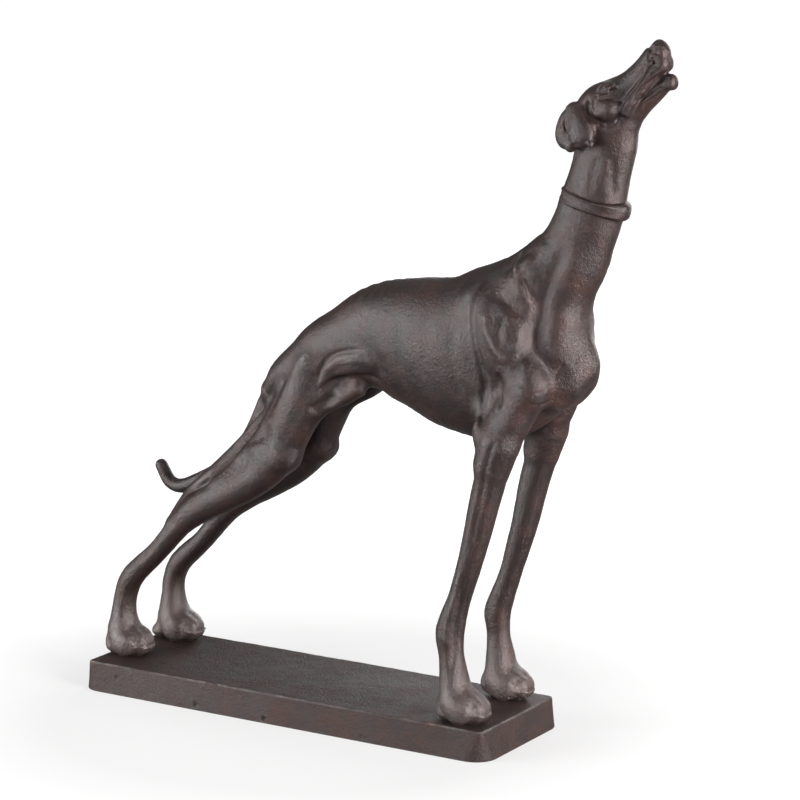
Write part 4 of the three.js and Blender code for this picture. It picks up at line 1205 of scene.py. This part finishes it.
# %% Sand grain as height
grain, inlet, outlet = new_group(
    "sand_grain",
    [("Place", ARROW, (0, 0, 0)), ("Pebbles", NUMBER, 1.0), ("Dust", NUMBER, 0.5)],
    [("Height", NUMBER)],
)
place = inlet.outputs["Place"]
pebble = noise_node(grain, place, 420, 3.0, 0.6)
fine = noise_node(grain, place, 1500, 2.0, 0.6)
patchy = span(grain, noise_node(grain, place, 30), 0.3, 0.7)
height = math_node(grain, "MULTIPLY", pebble, inlet.outputs["Pebbles"])
height = math_node(grain, "MULTIPLY", height, math_node(grain, "MULTIPLY_ADD", patchy, 0.7, 0.3))
height = math_node(grain, "ADD", height, math_node(grain, "MULTIPLY", fine, inlet.outputs["Dust"]))
grain.links.new(height, outlet.inputs["Height"])
print("group", grain.name, "with", len(grain.nodes), "nodes")


# %% The two irons
def iron_finish(name, iron_colour, rust, rubbed, roughness, pebbles, dust, bump, paw_wear, shine):
    """Patina, painted shade in the hollows and grain around one Principled shader."""
    material = bpy.data.materials.new(name)
    material.use_nodes = True
    tree = material.node_tree
    shader = tree.nodes["Principled BSDF"]
    shader.inputs["Metallic"].default_value = 0.3
    shader.inputs["Specular IOR Level"].default_value = shine
    place = node(tree, "ShaderNodeTexCoord").outputs["Object"]
    relief = node(tree, "ShaderNodeAttribute", attribute_name="relief").outputs["Fac"]
    coat = node(tree, "ShaderNodeGroup", node_tree=patina_and_shade)
    tree.links.new(place, coat.inputs["Place"])
    tree.links.new(relief, coat.inputs["Relief"])
    for label, value in (("Iron", iron_colour), ("Rust", rust), ("Rubbed", rubbed)):
        coat.inputs[label].default_value = (*value, 1)
    coat.inputs["Roughness"].default_value = roughness
    coat.inputs["Paw Wear"].default_value = paw_wear
    tree.links.new(coat.outputs["Color"], shader.inputs["Base Color"])
    tree.links.new(coat.outputs["Roughness"], shader.inputs["Roughness"])
    sand = node(tree, "ShaderNodeGroup", {"Pebbles": pebbles, "Dust": dust}, node_tree=grain)
    tree.links.new(place, sand.inputs["Place"])
    raised = node(tree, "ShaderNodeBump", {"Strength": bump, "Distance": 0.0006})
    tree.links.new(sand.outputs["Height"], raised.inputs["Height"])
    tree.links.new(raised.outputs["Normal"], shader.inputs["Normal"])
    return material


hound.data.materials.append(iron_finish(
    "hound_oiled_iron", (0.024, 0.0135, 0.0125), (0.065, 0.024, 0.016), (0.22, 0.18, 0.17),
    roughness=0.36, pebbles=1.5, dust=0.8, bump=0.85, paw_wear=0.4, shine=1.0,
))
plinth.data.materials.append(iron_finish(
    "plinth_oiled_iron", (0.040, 0.028, 0.026), (0.080, 0.038, 0.029), (0.34, 0.32, 0.31),
    roughness=0.5, pebbles=1.5, dust=0.8, bump=0.9, paw_wear=0.0, shine=0.55,
))
print("materials:", [m.name for m in bpy.data.materials if m.users])

# %% [markdown]
# ## The stage
# A plain pale floor and four soft lamps, as on a product table: one to the left of the camera
# lights the flanks, one to the right the chest, one behind puts a sheen on the plinth's top, and a
# weak one overhead softens the back. Dark iron is a dull mirror, so a white room would make it
# grey all over. The floor and the walls are therefore dim for the iron, and only the camera sees
# them nearly white.

# %% Floor
FLOOR_HALF = 22.0
FLOOR_GREY = 0.32
NEAR_GLOW, FAR_GLOW = 0.2, 0.5  # metres from the middle, where the floor starts to be seen brighter
GLOW_NEAR, GLOW_FAR = 0.64, 1.0  # and how bright it is seen inside the first and past the second
floor_mesh = bpy.data.meshes.new("floor")
corners = [(x * FLOOR_HALF, y * FLOOR_HALF, 0) for x, y in ((-1, -1), (1, -1), (1, 1), (-1, 1))]
floor_mesh.from_pydata(corners, [], [(0, 1, 2, 3)])
floor = bpy.data.objects.new("floor", floor_mesh)
bpy.context.scene.collection.objects.link(floor)
pale = bpy.data.materials.new("pale_floor")
pale.use_nodes = True
tree = pale.node_tree
shader = tree.nodes["Principled BSDF"]
shader.inputs["Base Color"].default_value = (FLOOR_GREY, FLOOR_GREY, FLOOR_GREY, 1)
shader.inputs["Roughness"].default_value = 0.9
shader.inputs["Specular IOR Level"].default_value = 0.1
shader.inputs["Emission Color"].default_value = (1, 1, 1, 1)
from_middle = node(tree, "ShaderNodeVectorMath", operation="LENGTH")
tree.links.new(node(tree, "ShaderNodeTexCoord").outputs["Object"], from_middle.inputs[0])
far_off = span(tree, from_middle.outputs["Value"], NEAR_GLOW, FAR_GLOW)
glow = math_node(tree, "MULTIPLY_ADD", far_off, GLOW_FAR - GLOW_NEAR, GLOW_NEAR)
seen = node(tree, "ShaderNodeLightPath").outputs["Is Camera Ray"]
tree.links.new(math_node(tree, "MULTIPLY", seen, glow), shader.inputs["Emission Strength"])
floor_mesh.materials.append(pale)

# %% Light
world = bpy.data.worlds.new("white_room")
bpy.context.scene.world = world
world.use_nodes = True
sky = world.node_tree.nodes["Background"]
sky.inputs["Color"].default_value = (1, 1, 1, 1)
ROOM_LIGHT = 0.12  # how bright the walls are for everything but the camera, which sees them white
seen = node(world.node_tree, "ShaderNodeLightPath").outputs["Is Camera Ray"]
strength = math_node(world.node_tree, "MULTIPLY_ADD", seen, 1 - ROOM_LIGHT, ROOM_LIGHT)
world.node_tree.links.new(strength, sky.inputs["Strength"])
bpy.context.scene.view_settings.view_transform = "Standard"


def aim(thing, at, target):
    """Stands a lamp or camera at a place and turns its -Z axis to the target."""
    thing.location = Vector(at)
    thing.rotation_euler = (Vector(target) - Vector(at)).to_track_quat("-Z", "Y").to_euler()


LIT_AT = (0.07, 0, 0.25)  # the middle of the statue, where every lamp points


def soft_lamp(name, at, size, power, colour=(1, 1, 1)):
    """A round lamp at a place, its width in metres and its power in watts."""
    lamp = bpy.data.lights.new(name, "AREA")
    lamp.shape, lamp.size, lamp.energy, lamp.color = "DISK", size, power, colour
    holder = bpy.data.objects.new(name, lamp)
    bpy.context.scene.collection.objects.link(holder)
    aim(holder, at, LIT_AT)
    return holder


soft_lamp("left_box", (-1.6, -1.35, 0.42), 1.6, 58)
soft_lamp("right_box", (2.05, -0.35, 0.6), 1.4, 70, (1, 0.95, 0.94))
soft_lamp("top_box", (-0.6, 0.5, 2.2), 1.3, 5)
soft_lamp("back_box", (-0.2, 2.25, 0.5), 2.0, 28)

# %% Camera
# The camera's turn round the object, its height above the horizon, how far off it is and where it
# points all come from the perspective of the plinth's edges in the photograph.
TURN, RISE = math.radians(31.74), math.radians(11.24)
AWAY = 2.179
TARGET = (0.0742, 0.0, 0.2429)
back = (math.sin(TURN) * math.cos(RISE), -math.cos(TURN) * math.cos(RISE), math.sin(RISE))
eye = bpy.data.cameras.new("camera")
eye.lens, eye.sensor_width = 135, 36
camera = bpy.data.objects.new("camera", eye)
bpy.context.scene.collection.objects.link(camera)
aim(camera, [t + AWAY * b for t, b in zip(TARGET, back)], TARGET)
bpy.context.scene.camera = camera
print("camera", AWAY, "m away")

# %% The last line
bpy.context.view_layer.update()
